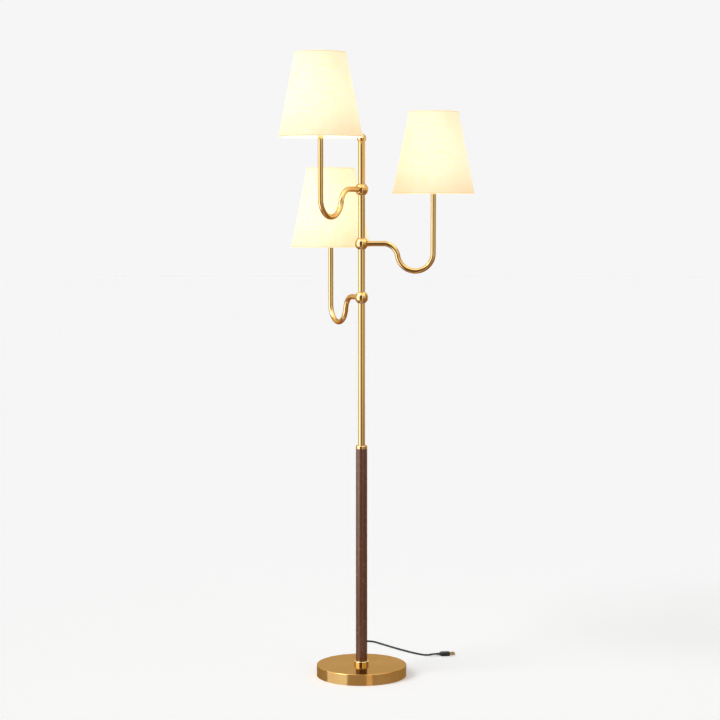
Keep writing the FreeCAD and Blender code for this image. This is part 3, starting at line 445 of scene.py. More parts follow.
# %% Foot brass
FOOT_PALE = (0.62, 0.33, 0.095, 1)
FOOT_DEEP = (0.57, 0.285, 0.07, 1)
FOOT_EDGE = (0.70, 0.56, 0.34, 1)
RING_SCALE = 900.0
FOOT_CLOUD_SCALE = 300.0


def foot_brass_finish():
    """Rings = noise of the distance from the axis and of the height, so that each circle has one
    value; the cloud shifts the tone between two golds."""
    finish, tree, shader = new_finish("spun_foot_brass")
    place = object_place(tree)
    split = node(tree, "SeparateXYZ", {0: place})
    flat = node(tree, "CombineXYZ", {0: split.outputs[0], 1: split.outputs[1]}).outputs[0]
    distance = node(tree, "VectorMath", {0: flat}, operation="LENGTH").outputs["Value"]
    circle = node(tree, "CombineXYZ", {0: distance, 1: split.outputs[2]}).outputs[0]
    rings, _ = grain_of(tree, circle, RING_SCALE, 4.0)
    _, cloud = grain_of(tree, place, FOOT_CLOUD_SCALE)
    feed(tree, shader,
         Base_Color=blend_colours(tree, rerange(tree, cloud, 0.35, 0.65), FOOT_PALE, FOOT_DEEP),
         Roughness=rerange(tree, rings, 0.3, 0.7, 0.11, 0.17),
         Normal=bumped(tree, rings, 0.03, 0.0001))
    plain(shader, Metallic=1.0, Coat_Weight=0.2, Coat_Roughness=0.08, Specular_Tint=FOOT_EDGE)
    return finish


foot_brass = foot_brass_finish()
print("brass:", foot_brass.name)

# %% [markdown]
# ## Steel, iron, felt and plastic
# Most of these pieces work inside the foot, the pole and the lampholders, and show only from below
# or through a shade's mouth. Each still gets its own finish: zinc-plated steel with a soft bloom,
# sandy cast iron, felt with its nap, moulded plastic with a fine texture. The shades' wire frames
# carry a painted glow, the bulb's light painted onto them, because they stand close round a bright
# bulb.

# %% Finishes of the working pieces
def grained_finish(name, colour, dark, scale, smooth, rough, relief, **fixed):
    """Two tones and two roughnesses that wander with the grain, and a relief in metres."""
    finish, tree, shader = new_finish(name)
    grain, cloud = grain_of(tree, object_place(tree), scale)
    tone = maths(tree, "MULTIPLY_ADD", grain, 0.5, maths(tree, "MULTIPLY", cloud, 0.5))
    feed(tree, shader,
         Base_Color=blend_colours(tree, rerange(tree, tone, 0.35, 0.65), dark, colour),
         Roughness=rerange(tree, grain, 0.3, 0.7, smooth, rough),
         Normal=bumped(tree, grain, 0.5, relief))
    plain(shader, **fixed)
    return finish


plated_steel = grained_finish("plated_steel", (0.62, 0.62, 0.60, 1), (0.50, 0.50, 0.49, 1),
                              500.0, 0.25, 0.4, 0.00002, Metallic=1.0)
cast_iron = grained_finish("cast_iron", (0.075, 0.075, 0.08, 1), (0.045, 0.045, 0.048, 1),
                           700.0, 0.55, 0.8, 0.0003)
felt = grained_finish("black_felt", (0.035, 0.034, 0.033, 1), (0.012, 0.012, 0.012, 1),
                      1800.0, 0.9, 1.0, 0.0006, Sheen_Weight=0.6, Sheen_Roughness=0.5)
slip_plastic = grained_finish("slip_washer_plastic", (0.72, 0.70, 0.64, 1), (0.62, 0.60, 0.54, 1),
                              600.0, 0.35, 0.5, 0.00003)
black_plastic = grained_finish("lampholder_black", (0.022, 0.021, 0.02, 1), (0.012, 0.012, 0.012, 1),
                               900.0, 0.22, 0.36, 0.00003, Coat_Weight=0.2, Coat_Roughness=0.15)
# The wire's emission is painted light: the bulb's glow on the frames, painted in.
white_wire = grained_finish("shade_wire_white", (0.78, 0.76, 0.71, 1), (0.66, 0.64, 0.59, 1),
                            800.0, 0.3, 0.45, 0.00005, Emission_Color=(0.62, 0.58, 0.42, 1),
                            Emission_Strength=0.6)
wire_sheath = grained_finish("inner_wire_sheath", (0.62, 0.61, 0.57, 1), (0.5, 0.49, 0.46, 1),
                             700.0, 0.4, 0.55, 0.00003)
cap_brass = grained_finish("bulb_cap_brass", (0.72, 0.62, 0.40, 1), (0.55, 0.45, 0.26, 1),
                           600.0, 0.2, 0.35, 0.00002, Metallic=1.0)
blade_brass = grained_finish("plug_blade_brass", (0.70, 0.56, 0.30, 1), (0.58, 0.44, 0.21, 1),
                             900.0, 0.22, 0.36, 0.00002, Metallic=1.0)
lead_rubber = grained_finish("lead_sheath", (0.026, 0.024, 0.021, 1), (0.017, 0.016, 0.014, 1),
                             900.0, 0.45, 0.6, 0.00004, Specular_IOR_Level=0.3)
seam_thread = grained_finish("seam_thread", (0.085, 0.045, 0.03, 1), (0.04, 0.02, 0.014, 1),
                             2500.0, 0.6, 0.8, 0.0001)
mains_lead.data.materials.append(lead_rubber)
print("eleven finishes for the working pieces")

# %% [markdown]
# ## Leather
# The column is wrapped in brown leather, waxed so that the window's light draws one broad soft
# band down its left side. Leather is small pebbles with creases between them: cells of a Voronoi
# pattern, edges sunk and darkened with a painted shade, over a broader cloud that darkens it in
# patches and draws out along the hide.

# %% Leather finish
HIDE_DARK = (0.076, 0.028, 0.016, 1)
HIDE_LIGHT = (0.114, 0.046, 0.028, 1)
HIDE_WORN = (0.21, 0.098, 0.060, 1)
HIDE_CREASE_SHADE = (0.045, 0.017, 0.010, 1)
HIDE_SHEEN = (1.0, 0.58, 0.38, 1)
PEBBLE_SCALE = 900.0
HIDE_DRAW = (1.0, 1.0, 0.25)
HIDE_GRAIN_SCALE = 260.0


def leather_finish():
    """Pebbles = distance to the nearest cell border; creases are low, painted shade darkens them;
    broad noise varies the dye.
    """
    finish, tree, shader = new_finish("waxed_leather")
    place = object_place(tree)
    cells = node(tree, "TexVoronoi", {"Vector": place, "Scale": PEBBLE_SCALE, "Randomness": 1.0},
                 feature="DISTANCE_TO_EDGE").outputs[0]
    pebbles = rerange(tree, cells, 0.0, 0.22)
    grain, cloud = grain_of(tree, stretched(tree, place, HIDE_DRAW), HIDE_GRAIN_SCALE, 5.0)
    dye = blend_colours(tree, rerange(tree, cloud, 0.3, 0.7), HIDE_DARK, HIDE_LIGHT)
    wear = maths(tree, "MULTIPLY", rerange(tree, grain, 0.45, 0.8), 0.35)
    worn = blend_colours(tree, wear, dye, HIDE_WORN)
    # Painted shade: the creases between pebbles are darkened towards the crease colour.
    crease_shaded = blend_colours(tree, rerange(tree, pebbles, 0.0, 1.0, 0.45, 0.0), worn, HIDE_CREASE_SHADE)
    relief = maths(tree, "MULTIPLY_ADD", grain, 0.6, pebbles)
    feed(tree, shader, Base_Color=crease_shaded,
         Roughness=rerange(tree, grain, 0.3, 0.75, 0.20, 0.30),
         Normal=bumped(tree, relief, 0.25, 0.0002))
    plain(shader, Specular_IOR_Level=1.0, IOR=1.6, Specular_Tint=HIDE_SHEEN)
    return finish


leather = leather_finish()
print("leather:", leather.name)

# %% [markdown]
# ## Lit linen
# A shade that is lit from inside does two things at once: the cloth takes the room's light on its
# outside, and lets the bulb's warm light through. The second part is an emission, palest beside
# the bulb and redder low down, near the rims and where the cloth is dense. Both parts are darkened
# in a thin band along each rim, a painted shade. A lamp inside the shade could do the glow, but an
# emission stays with the shade wherever the shade is used.

# %% Linen finishes
LINEN_WHITE = (0.74, 0.725, 0.68, 1)
LINING_WHITE = (0.80, 0.78, 0.70, 1)
LINING_MIDDLE = (0.98, 0.93, 0.76, 1)
LINING_RIM = (0.96, 0.90, 0.72, 1)
GLOW_MIDDLE = (0.68, 0.62, 0.36, 1)
GLOW_RIM = (0.60, 0.385, 0.15, 1)
DENSE_TINT = (0.84, 0.74, 0.50, 1)
RIM_SHADE_TINT = (0.86, 0.72, 0.48, 1)
RIM_SHADE_WIDTH = 0.0028
GLOW_FULL = 0.075
GLOW_TOP = 0.150
CLOTH_LENGTH = 0.2182


def linen_finish(name, cloth_colour, glow_middle, glow_rim, density_share, rim_shade_share):
    """Room light on the cloth and the bulb's light through it, dimmed by the weave; painted shade at
    the rims.
    """
    finish, tree, shader = new_finish(name)
    cloth, density, height = weave_of(tree)
    along = node(tree, "SeparateXYZ", {0: cloth}).outputs[1]
    lower = rerange(tree, along, 0.0, GLOW_FULL)
    upper = rerange(tree, along, CLOTH_LENGTH, GLOW_TOP, 0.65, 1.0)
    glow = blend_colours(tree, maths(tree, "MULTIPLY", lower, upper), glow_rim, glow_middle)
    tint = blend_colours(tree, maths(tree, "MULTIPLY", density, density_share),
                         (1, 1, 1, 1), DENSE_TINT)
    # Painted shade: a thin band at each rim darkens both the cloth's colour and its glow.
    inwards = maths(tree, "MINIMUM", along, maths(tree, "SUBTRACT", CLOTH_LENGTH, along))
    edge = rerange(tree, inwards, RIM_SHADE_WIDTH, 0.4 * RIM_SHADE_WIDTH, 0.0, rim_shade_share)
    tint = blend_colours(tree, edge, tint, RIM_SHADE_TINT)
    feed(tree, shader,
         Base_Color=blend_colours(tree, 1.0, tint, cloth_colour, "MULTIPLY"),
         Emission_Color=blend_colours(tree, 1.0, tint, glow, "MULTIPLY"),
         Normal=bumped(tree, height, 0.5, 0.0002))
    plain(shader, Roughness=0.85, Emission_Strength=1.0, Sheen_Weight=0.2, Sheen_Roughness=0.5)
    return finish


linen = linen_finish("lit_linen", LINEN_WHITE, GLOW_MIDDLE, GLOW_RIM, 0.9, 1.0)
lining = linen_finish("lit_lining", LINING_WHITE, LINING_MIDDLE, LINING_RIM, 0.15, 0.0)
print("linen:", linen.name, lining.name)

# %% [markdown]
# ## Opal bulb
# The bulb is an opal glass ball that glows evenly, as milky glass does however small its lamp is.

# %% Bulb finish
OPAL_WARM = (1.0, 0.90, 0.62, 1)
OPAL_PALE = (1.0, 0.94, 0.72, 1)
OPAL_SCALE = 600.0


def opal_finish():
    """An even emission with a faint cloud in it, under a smooth glass skin."""
    finish, tree, shader = new_finish("opal_glass")
    _, cloud = grain_of(tree, object_place(tree), OPAL_SCALE)
    glow = blend_colours(tree, rerange(tree, cloud, 0.3, 0.7), OPAL_WARM, OPAL_PALE)
    feed(tree, shader, Emission_Color=glow, Base_Color=glow)
    plain(shader, Roughness=0.12, Emission_Strength=2.2, Coat_Weight=0.5)
    return finish


opal_glass = opal_finish()
print("bulb:", opal_glass.name)

# %% [markdown]
# ## Dress the frame's own pieces
# Pieces whose shape is already right keep their mesh and only take a finish. The names follow the
# bench order: what belongs to the foot, the column, the pole, then what repeats on the three arms.

# %% Give each piece its finish
def dress(finish, *names):
    """Puts one finish on the named pieces."""
    for name in names:
        pieces[name].data.materials.clear()
        pieces[name].data.materials.append(finish)


dress(foot_brass, "base_cover")
dress(collar_brass, "base_collar")
dress(polished_brass, "column_ferrule", "pole_lower", "pole_between_lower_hubs",
      "pole_between_upper_hubs", "pole_top_piece", "finial")
dress(cast_iron, "base_weight")
dress(felt, "base_pad")
dress(plated_steel, "base_lock_nut", "base_lock_washer", "base_threaded_rod", "column_foot_plug",
      "column_tube", "pole_foot_bush", "pole_inserts", "hub_spindles")
dress(slip_plastic, "hub_slip_washers")
dress(wire_sheath, "inner_wire")
dress(lead_rubber, "cord_lead", "cord_coil", "cord_run", "cord_strain_relief", "plug_body")
dress(blade_brass, "plug_blades")
dress(leather, "leather_wrap")
for arm in ARMS:
    dress(polished_brass, *(f"{arm}_{part}" for part in ("hub_ball", "arm_tube", "holder_cup")))
    dress(black_plastic, *(f"{arm}_{part}" for part in ("lampholder", "shade_ring", "switch_knob")))
    dress(white_wire, f"{arm}_shade_frame")
    dress(linen, f"{arm}_shade")
    dress(opal_glass, f"{arm}_bulb_glass")
    dress(cap_brass, f"{arm}_bulb_cap")
    dress(wire_sheath, f"{arm}_arm_wire")
print("dressed", sum(len(p.data.materials) > 0 for p in pieces.values()), "pieces")

# %% [markdown]
# ## The shades
# A lampshade is a flat fan of linen on stiff backing, rolled round two wire hoops and lapped down
# the back. Its hems turn over the hoops and stand a hair proud, and the lap makes one soft step.
# The wall is one closed loop of profile carried round the axis: up the outside, over the upper
# rim, down the lining and under the lower rim, with terms for hems, lap and a slight waviness.

# %% Roll a shade
SHADE_TOP_RADIUS = 0.0655
FABRIC = 0.0012
HEM_HEIGHT = 0.009
HEM_EDGE = 0.0012
HEM_RISE = 0.00045
LAP_ANGLE = math.radians(90)
LAP_WIDTH = 0.012
LAP_EDGE = 0.0008
LAP_RISE = 0.0006
WALL_ROWS = 64
RIM_ROWS = 7
SHADE_COLUMNS = 224
OUTSIDE_SHARE = 0.9
WAVES = ((3, 0.00025, 0.4), (7, 0.00012, 2.1), (12, 0.00007, 4.0))


def shade_profile(bottom_radius, height):
    """One loop of profile: distance along the cloth, radius, height, and how far it lies outside.

    The outer wall is the straight line from lower to upper edge, the rims are half circles as wide
    as the cloth is thick, and the lining is the same line moved in by that thickness."""
    share = np.linspace(0, 1, WALL_ROWS)
    slope = (bottom_radius - SHADE_TOP_RADIUS) / height
    length = math.hypot(bottom_radius - SHADE_TOP_RADIUS, height)
    half = FABRIC / 2
    middle_radius = bottom_radius - half - (bottom_radius - SHADE_TOP_RADIUS) * share
    middle_height = half + (height - FABRIC) * share
    normal = np.array([1, slope]) / math.hypot(1, slope)
    upward = np.array([-slope, 1]) / math.hypot(1, slope)
    turn = np.linspace(0, math.pi, RIM_ROWS + 2)[1:-1]
    walls = []
    for side, order in ((1, slice(None)), (-1, slice(None, None, -1))):
        walls.append(np.stack([middle_radius + side * half * normal[0],
                               middle_height + side * half * normal[1]], axis=1)[order])
    ends = []
    for at, way in ((-1, 1), (0, -1)):
        centre = np.array([middle_radius[at], middle_height[at]])
        ends.append(centre + half * way * (np.cos(turn)[:, None] * normal
                                           + np.sin(turn)[:, None] * upward))
    loop = np.concatenate([walls[0], ends[0], walls[1], ends[1]])
    along = np.concatenate([share, np.ones(RIM_ROWS), share[::-1], np.zeros(RIM_ROWS)]) * length
    outer = np.concatenate([np.ones(WALL_ROWS), np.cos(turn) / 2 + 0.5,
                            np.zeros(WALL_ROWS), 0.5 - np.cos(turn) / 2])
    return along, loop[:, 0], loop[:, 1], outer


def shade_spread(along, radius, outer, angle):
    """How far each point is moved outwards: the hems rise over the outside, the lap adds a soft step
    at the back, and a sum of sines round the axis waves the wall, most at half its height."""
    length = along.max()
    hem = 1 - soft_step(np.minimum(along, length - along), HEM_HEIGHT - HEM_EDGE, HEM_HEIGHT)
    arc = (angle - LAP_ANGLE + np.pi) % (2 * np.pi) - np.pi
    across = arc[None, :] * radius[:, None]
    lap = soft_step(across, -LAP_WIDTH / 2, -LAP_WIDTH / 2 + LAP_EDGE)
    lap = lap * (1 - soft_step(across, 0.2 * LAP_WIDTH, LAP_WIDTH / 2))
    waves = sum(size * np.sin(count * angle + start) for count, size, start in WAVES)
    between = np.sin(np.pi * along / length)
    hem_rise = HEM_RISE * ((hem - 1) * outer)[:, None]
    return hem_rise + LAP_RISE * lap * outer[:, None] + waves[None, :] * between[:, None]


def shade_uv(along, bottom_radius):
    """Each square's four corners on the cloth, in metres: round the shade at its mean radius, and
    along the profile."""
    rows = len(along)
    row = np.repeat(np.arange(rows), SHADE_COLUMNS)
    column = np.tile(np.arange(SHADE_COLUMNS), rows)
    step = math.pi * (bottom_radius + SHADE_TOP_RADIUS) / SHADE_COLUMNS
    along_next = np.roll(along, -1)
    u = np.stack([column, column + 1, column + 1, column], axis=1) * step
    v = np.stack([along[row], along[row], along_next[row], along_next[row]], axis=1)
    return np.stack([u, v], axis=-1)


def roll_shade(arm):
    """The profile loop carried round the shade's axis, with hems, lap and waves added outwards."""
    low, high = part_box(f"{arm}_shade")
    axis = ((low.x + high.x) / 2, (low.y + high.y) / 2)
    bottom_radius, height = (high.x - low.x) / 2, high.z - low.z
    along, radius, level, outer = shade_profile(bottom_radius, height)
    angle = np.linspace(0, 2 * np.pi, SHADE_COLUMNS, endpoint=False)
    full = radius[:, None] + shade_spread(along, radius, outer, angle)
    points = carried_round(full, low.z + level, angle, axis)
    faces = grid_faces(len(along), SHADE_COLUMNS, wrap_rows=True, wrap_columns=True)
    shade = make_piece(f"{arm}_linen_shade", points, faces, f"{arm}_arm",
                       loop_uv=shade_uv(along, bottom_radius))
    shade.data.materials.append(linen)
    shade.data.materials.append(lining)
    lined = np.repeat(outer < OUTSIDE_SHARE, SHADE_COLUMNS).astype(np.int32)
    shade.data.polygons.foreach_set("material_index", lined)
    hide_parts(f"{arm}_shade")
    return shade, bottom_radius, height


for arm in ARMS:
    shade, bottom_radius, height = roll_shade(arm)

# %% [markdown]
# ## The leather sleeve
# The hide is pulled round the column with its two edges turned in at the back, where they meet in
# a groove and are laced together with waxed thread. The sleeve is the frame's own tube, with the
# groove sunk into it; the stitches are small arched threads that cross the groove all the way up.

# %% Wrap the column
leather_low, leather_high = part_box("leather_wrap")
tube_low, tube_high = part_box("column_tube")
LEATHER_RADIUS = (leather_high.x - leather_low.x) / 2
CLEARANCE = 0.00005
LEATHER_INSIDE = (tube_high.x - tube_low.x) / 2 + CLEARANCE
SEAM_ANGLE = math.radians(90)
GROOVE_WIDTH = 0.0016
GROOVE_DEPTH = 0.0009
STITCH_HOLE_PITCH = 0.0065
PUCKER_HEIGHT = 0.00012
PUCKER_ASIDE = 0.0022
PUCKER_WIDTH = 0.001
EDGE_ROUND = 0.0005
SLEEVE_ROWS = 118
SLEEVE_COLUMNS = 96
SEAM_COLUMNS = 15
SEAM_SPREAD = 0.16


def leather_sleeve():
    """A closed loop of profile carried round: outside up, over, inside down. The outside sinks into
    the seam's groove by a bell curve across it, and puckers beside it at every stitch. The columns
    stand closer together at the seam."""
    low, high = leather_low.z, leather_high.z
    edge = EDGE_ROUND * np.array([0, 0.3, 1])
    middle = np.linspace(low + EDGE_ROUND, high - EDGE_ROUND, SLEEVE_ROWS + 2)[1:-1]
    heights = np.concatenate([low + edge, middle, high - edge[::-1]])
    inset = np.zeros(len(heights))
    inset[[0, 1, -2, -1]] = EDGE_ROUND * np.array([1, 0.3, 0.3, 1])
    broad = 2 * np.pi * np.arange(SLEEVE_COLUMNS) / SLEEVE_COLUMNS
    broad = broad[np.cos(broad) < math.cos(SEAM_SPREAD)]
    fine = SEAM_SPREAD * np.linspace(-1, 1, SEAM_COLUMNS + 2)[1:-1]
    angle = np.sort((SEAM_ANGLE + np.concatenate([broad, fine])) % (2 * np.pi))
    across = np.angle(np.exp(1j * (angle - SEAM_ANGLE))) * LEATHER_RADIUS
    groove = GROOVE_DEPTH * np.exp(-(across / (GROOVE_WIDTH / 2)) ** 2)
    pucker = PUCKER_HEIGHT * np.cos(2 * np.pi * (heights - low) / STITCH_HOLE_PITCH)
    beside = np.exp(-((np.abs(across) - PUCKER_ASIDE) / PUCKER_WIDTH) ** 2)
    outside = LEATHER_RADIUS - inset[:, None] - groove[None, :] + pucker[:, None] * beside[None, :]
    radius = np.concatenate([outside, np.full((2, len(angle)), LEATHER_INSIDE)])
    level = np.concatenate([heights, [high, low]])
    faces = grid_faces(len(level), len(angle), wrap_rows=True, wrap_columns=True)
    return carried_round(radius, level, angle), faces


points, faces = leather_sleeve()
sleeve = make_piece("leather_sleeve", points, faces, "stand")
sleeve.data.materials.append(leather)
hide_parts("leather_wrap")
print(len(points), "points in the leather sleeve")

# %% Lace the seam
THREAD_RADIUS = 0.00035
THREAD_SINK = 0.0006
THREAD_ARCH = 0.0008
STITCH_SPAN = 0.0044
STITCH_LEAN = 0.45 * STITCH_HOLE_PITCH
STITCH_MARGIN = 0.006
THREAD_SIDES = 6
THREAD_STEPS = 9


def lacing():
    """Every stitch is one short tube across the groove, leaning up like a ladder's crossed rung.

    Its path is an arch: across from minus to plus half a span, outwards by the square root of what
    is left of a half circle's height, so that both ends sink into the leather."""
    share = np.linspace(-1, 1, THREAD_STEPS)
    height = leather_high.z - leather_low.z - 2 * STITCH_MARGIN
    count = int(height / STITCH_HOLE_PITCH)
    base = leather_low.z + STITCH_MARGIN + STITCH_HOLE_PITCH * np.arange(count)
    out = LEATHER_RADIUS - THREAD_SINK + THREAD_ARCH * np.sqrt(np.maximum(1 - share**2, 0))
    ring = np.linspace(0, 2 * np.pi, THREAD_SIDES, endpoint=False)
    x = np.repeat(-share[:, None] * STITCH_SPAN / 2, THREAD_SIDES, axis=1)
    y = out[:, None] + THREAD_RADIUS * np.cos(ring)
    z = (share * STITCH_LEAN / 2)[:, None] + THREAD_RADIUS * np.sin(ring)
    points = np.repeat(np.stack([x, y, z], axis=-1).reshape(1, -1, 3), count, axis=0)
    points[:, :, 2] += base[:, None]
    per_stitch = THREAD_STEPS * THREAD_SIDES
    first = per_stitch * np.arange(count)[:, None, None]
    faces = grid_faces(THREAD_STEPS, THREAD_SIDES, wrap_columns=True) + first
    cap = np.arange(THREAD_SIDES)
    caps = np.stack([cap[::-1], cap + per_stitch - THREAD_SIDES]) + first
    faces = faces.reshape(-1, 4).tolist() + caps.reshape(-1, THREAD_SIDES).tolist()
    return points.reshape(-1, 3), faces, count


points, faces, stitch_count = lacing()
stitches = make_piece("column_seam_lacing", points, faces, "stand")
stitches.data.materials.append(seam_thread)
print(stitch_count, "stitches up the back of the column")

# %% [markdown]
# ## Strain relief and plug
# Where the lead leaves the foot it passes a short ribbed sleeve, so that it can't be bent sharply
# there. The plug is moulded in one with its own neck: the section grows from round to a flat
# rounded block, with grip ribs on its sides.

# %% Mould the strain relief
relief_low, relief_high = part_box("cord_strain_relief")
FOOT_FACE = 0.12005
HEAD_LENGTH = 0.002
HEAD_BEVEL = 0.0003
RELIEF_NECK = 0.0035
RELIEF_TIP = 0.0030
RIB_COUNT = 7
RIB_DEPTH = 0.00028
RELIEF_ROWS = 71
RELIEF_SIDES = 40


def ribbed_relief():
    """Radius along the lead: the head's flange, then a taper with ribs as a raised cosine."""
    start, end = relief_low.y, relief_high.y
    head_end = FOOT_FACE + HEAD_LENGTH
    head, bore = (relief_high.x - relief_low.x) / 2, CORD_DIAMETER / 2 + CLEARANCE
    taper = np.linspace(0, 1, RELIEF_ROWS)
    ribs = RIB_DEPTH * (0.5 + 0.5 * np.cos(2 * np.pi * RIB_COUNT * taper)) * (1 - 0.4 * taper)
    swell = RELIEF_NECK + (RELIEF_TIP - RELIEF_NECK) * taper + ribs
    along = np.concatenate([[start, start, FOOT_FACE, FOOT_FACE, head_end - HEAD_BEVEL, head_end],
                            head_end + (end - head_end) * taper, [end]])
    radius = np.concatenate([[bore, RELIEF_NECK, RELIEF_NECK, head, head, head - HEAD_BEVEL],
                             np.minimum(head - HEAD_BEVEL, swell), [bore]])
    angle = np.linspace(0, 2 * np.pi, RELIEF_SIDES, endpoint=False)
    x = (relief_low.x + relief_high.x) / 2 + radius[:, None] * np.sin(angle)
    y = np.broadcast_to(along[:, None], x.shape)
    z = (relief_low.z + relief_high.z) / 2 + radius[:, None] * np.cos(angle)
    faces = grid_faces(len(along), RELIEF_SIDES, wrap_rows=True, wrap_columns=True)
    return np.stack([x, y, z], axis=-1).reshape(-1, 3), faces


points, faces = ribbed_relief()
relief = make_piece("ribbed_strain_relief", points, faces, "stand")
relief.data.materials.append(lead_rubber)
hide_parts("cord_strain_relief")
print("strain relief with", RIB_COUNT, "ribs")

# %% Mould the plug
PLUG_AT = Vector(route[-1])
PLUG_HEADING = math.atan2(route[-1][1] - route[-2][1], route[-1][0] - route[-2][0])
PLUG_NECK = 0.013
PLUG_BODY = 0.023
PLUG_HALF_WIDTH = 0.0105
PLUG_HALF_HEIGHT = 0.0055
PLUG_TIP_RADIUS = 0.0030
PLUG_SQUARENESS = 3.0
PLUG_END_ROUND = 0.0012
PLUG_END_SHARES = (0.9975, 0.999, 0.99975, 1.0)
PLUG_ROWS = 90
PLUG_SIDES = 56
RIB_PITCH = 0.0026
NECK_RIB_DEPTH = 0.00025
NECK_RIBS_FADE = (0.008, 0.011)
GRIP_START = 0.019
GRIP_DEPTH = 0.0005
GRIP_RIBS = 5


def plug_surface():
    """Sections along the plug's axis: each is a superellipse whose half width, half height and
    squareness grow from the lead's round to the block's; ribs narrow the block's sides."""
    length = PLUG_NECK + PLUG_BODY
    along = np.concatenate([np.linspace(0, 0.995, PLUG_ROWS), PLUG_END_SHARES]) * length
    grow = soft_step(along, PLUG_NECK * 0.35, PLUG_NECK * 1.15)
    past = (along - length + PLUG_END_ROUND).clip(0) / PLUG_END_ROUND
    rounding = PLUG_END_ROUND * (1 - np.sqrt(np.clip(1 - past**2, 0, 1)))
    rings = NECK_RIB_DEPTH * np.cos(2 * np.pi * along / RIB_PITCH) \
        * (1 - soft_step(along, *NECK_RIBS_FADE))
    grip = GRIP_DEPTH * (0.5 - 0.5 * np.cos(2 * np.pi * (along - GRIP_START) / RIB_PITCH)) \
        * (along > GRIP_START) * (along < GRIP_START + RIB_PITCH * GRIP_RIBS)
    neck = PLUG_TIP_RADIUS + rings - rounding
    half_width = neck + (PLUG_HALF_WIDTH - PLUG_TIP_RADIUS) * grow - grip
    half_height = neck + (PLUG_HALF_HEIGHT - PLUG_TIP_RADIUS) * grow
    power = (2 / (2 + PLUG_SQUARENESS * grow))[:, None]
    angle = np.linspace(0, 2 * np.pi, PLUG_SIDES, endpoint=False)
    cosine, sine = np.cos(angle), np.sin(angle)
    y = np.sign(cosine) * np.abs(cosine) ** power * half_width[:, None]
    z = np.sign(sine) * np.abs(sine) ** power * half_height[:, None]
    x = along[:, None]
    turn, lean = math.cos(PLUG_HEADING), math.sin(PLUG_HEADING)
    points = np.stack([PLUG_AT.x + x * turn - y * lean, PLUG_AT.y + x * lean + y * turn,
                       PLUG_AT.z + z], axis=-1).reshape(-1, 3)
    cap = np.arange(PLUG_SIDES)
    caps = [cap[::-1].tolist(), (cap + len(points) - PLUG_SIDES).tolist()]
    return points, grid_faces(len(along), PLUG_SIDES, wrap_columns=True).tolist() + caps


points, faces = plug_surface()
plug = make_piece("moulded_plug", points, faces, "stand")
plug.data.materials.append(lead_rubber)
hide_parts("plug_body")
print("plug heads", round(math.degrees(PLUG_HEADING), 1), "degrees from +X")

# %% [markdown]
# ## The floor and the room
# The lamp stands in a plain pale studio. The floor keeps a soft shadow, and is carried up to the
# pale level of the room by its own glow. Polished brass shows its surroundings, so the room that
# it mirrors is drawn by the compass: pale behind the lamp, a tall window on the left, a narrow one
# on the right, and a dim gap on the camera's side. One node group does this for both the room and
# the floor, because the window's light lies on the floor in the same direction.

# %% Group: room by the compass
PALE = (0.9216, 0.9216, 0.9216, 1)
DAYLIGHT = (0.84, 1.0, 1.26)
STRIP_LIGHT = (1.0, 0.96, 0.88)
WINDOW_EDGES = (-100.0, -38.0)
STRIP_EDGES = (13.0, 28.0)
PANE_BLUR = 2.0
MIRROR_STEPS = 2
WALL_EDGES = ((30.0, 42.0, "Side"), (76.0, 88.0, "Gap"), (104.0, 114.0, "Behind"))


def build_room_compass():
    """The azimuth is the arctangent of x over minus y, less the camera's own turn. From the front
    round to either side the level is Gap, Side, Gap again and Behind, times Tint, with soft edges
    between them in degrees. Over that lie the window in cool daylight and the strip, a warmer one.

    Foot is the foot's radius over the distance. A place beside the foot is mirrored by its side
    from further round, by the angle whose sine is Foot times the sine of half the azimuth seen. That
    azimuth is found in steps, from twice the place's own."""
    group, start, end = new_group(
        "room_compass",
        [("Direction", "Vector", None), ("Foot", "Float", 0.0), ("Gap", "Float", 0.1),
         ("Window", "Float", 2.0), ("Strip", "Float", 1.0), ("Side", "Float", 0.4),
         ("Behind", "Float", PALE[0]), ("Tint", "Color", (1, 1, 1, 1))],
        [("Colour", "Color")],
    )
    level_of = start.outputs
    split = node(group, "SeparateXYZ", {0: level_of["Direction"]})
    minus_y = maths(group, "MULTIPLY", split.outputs[1], -1.0)
    compass = maths(group, "ARCTAN2", split.outputs[0], minus_y)
    place = maths(group, "SUBTRACT", compass, CAMERA_TURN)
    seen = maths(group, "MULTIPLY", place, 2.0)
    for _ in range(MIRROR_STEPS):
        lean = maths(group, "SINE", maths(group, "MULTIPLY", seen, 0.5))
        lean = maths(group, "ARCSINE", maths(group, "MULTIPLY", lean, level_of["Foot"]))
        seen = maths(group, "ADD", place, lean)
    azimuth = maths(group, "DEGREES", seen)
    away = maths(group, "ABSOLUTE", azimuth)
    level = level_of["Gap"]
    for low, high, name in WALL_EDGES:
        level = node(group, "Mix", {0: rerange(group, away, low, high), 2: level,
                                    3: level_of[name]}).outputs[0]
    colour = blend_colours(group, level, (0, 0, 0, 1), level_of["Tint"])
    for (low, high), name, light in ((WINDOW_EDGES, "Window", DAYLIGHT),
                                     (STRIP_EDGES, "Strip", STRIP_LIGHT)):
        inside = maths(group, "MULTIPLY",
                       rerange(group, azimuth, low - PANE_BLUR, low + PANE_BLUR),
                       rerange(group, azimuth, high + PANE_BLUR, high - PANE_BLUR))
        pane = node(group, "VectorMath", {0: light, "Scale": level_of[name]},
                    operation="SCALE").outputs[0]
        colour = blend_colours(group, inside, colour, pane)
    group.links.new(colour, end.inputs["Colour"])
    return group


room_compass = build_room_compass()


def mirrored_room(tree, direction, **levels):
    """What a mirror sees in a direction. A level is a number or another node's output."""
    made = node(tree, "Group", {"Direction": direction, **levels}, node_tree=room_compass)
    return made.outputs["Colour"]


print("group:", room_compass.name)

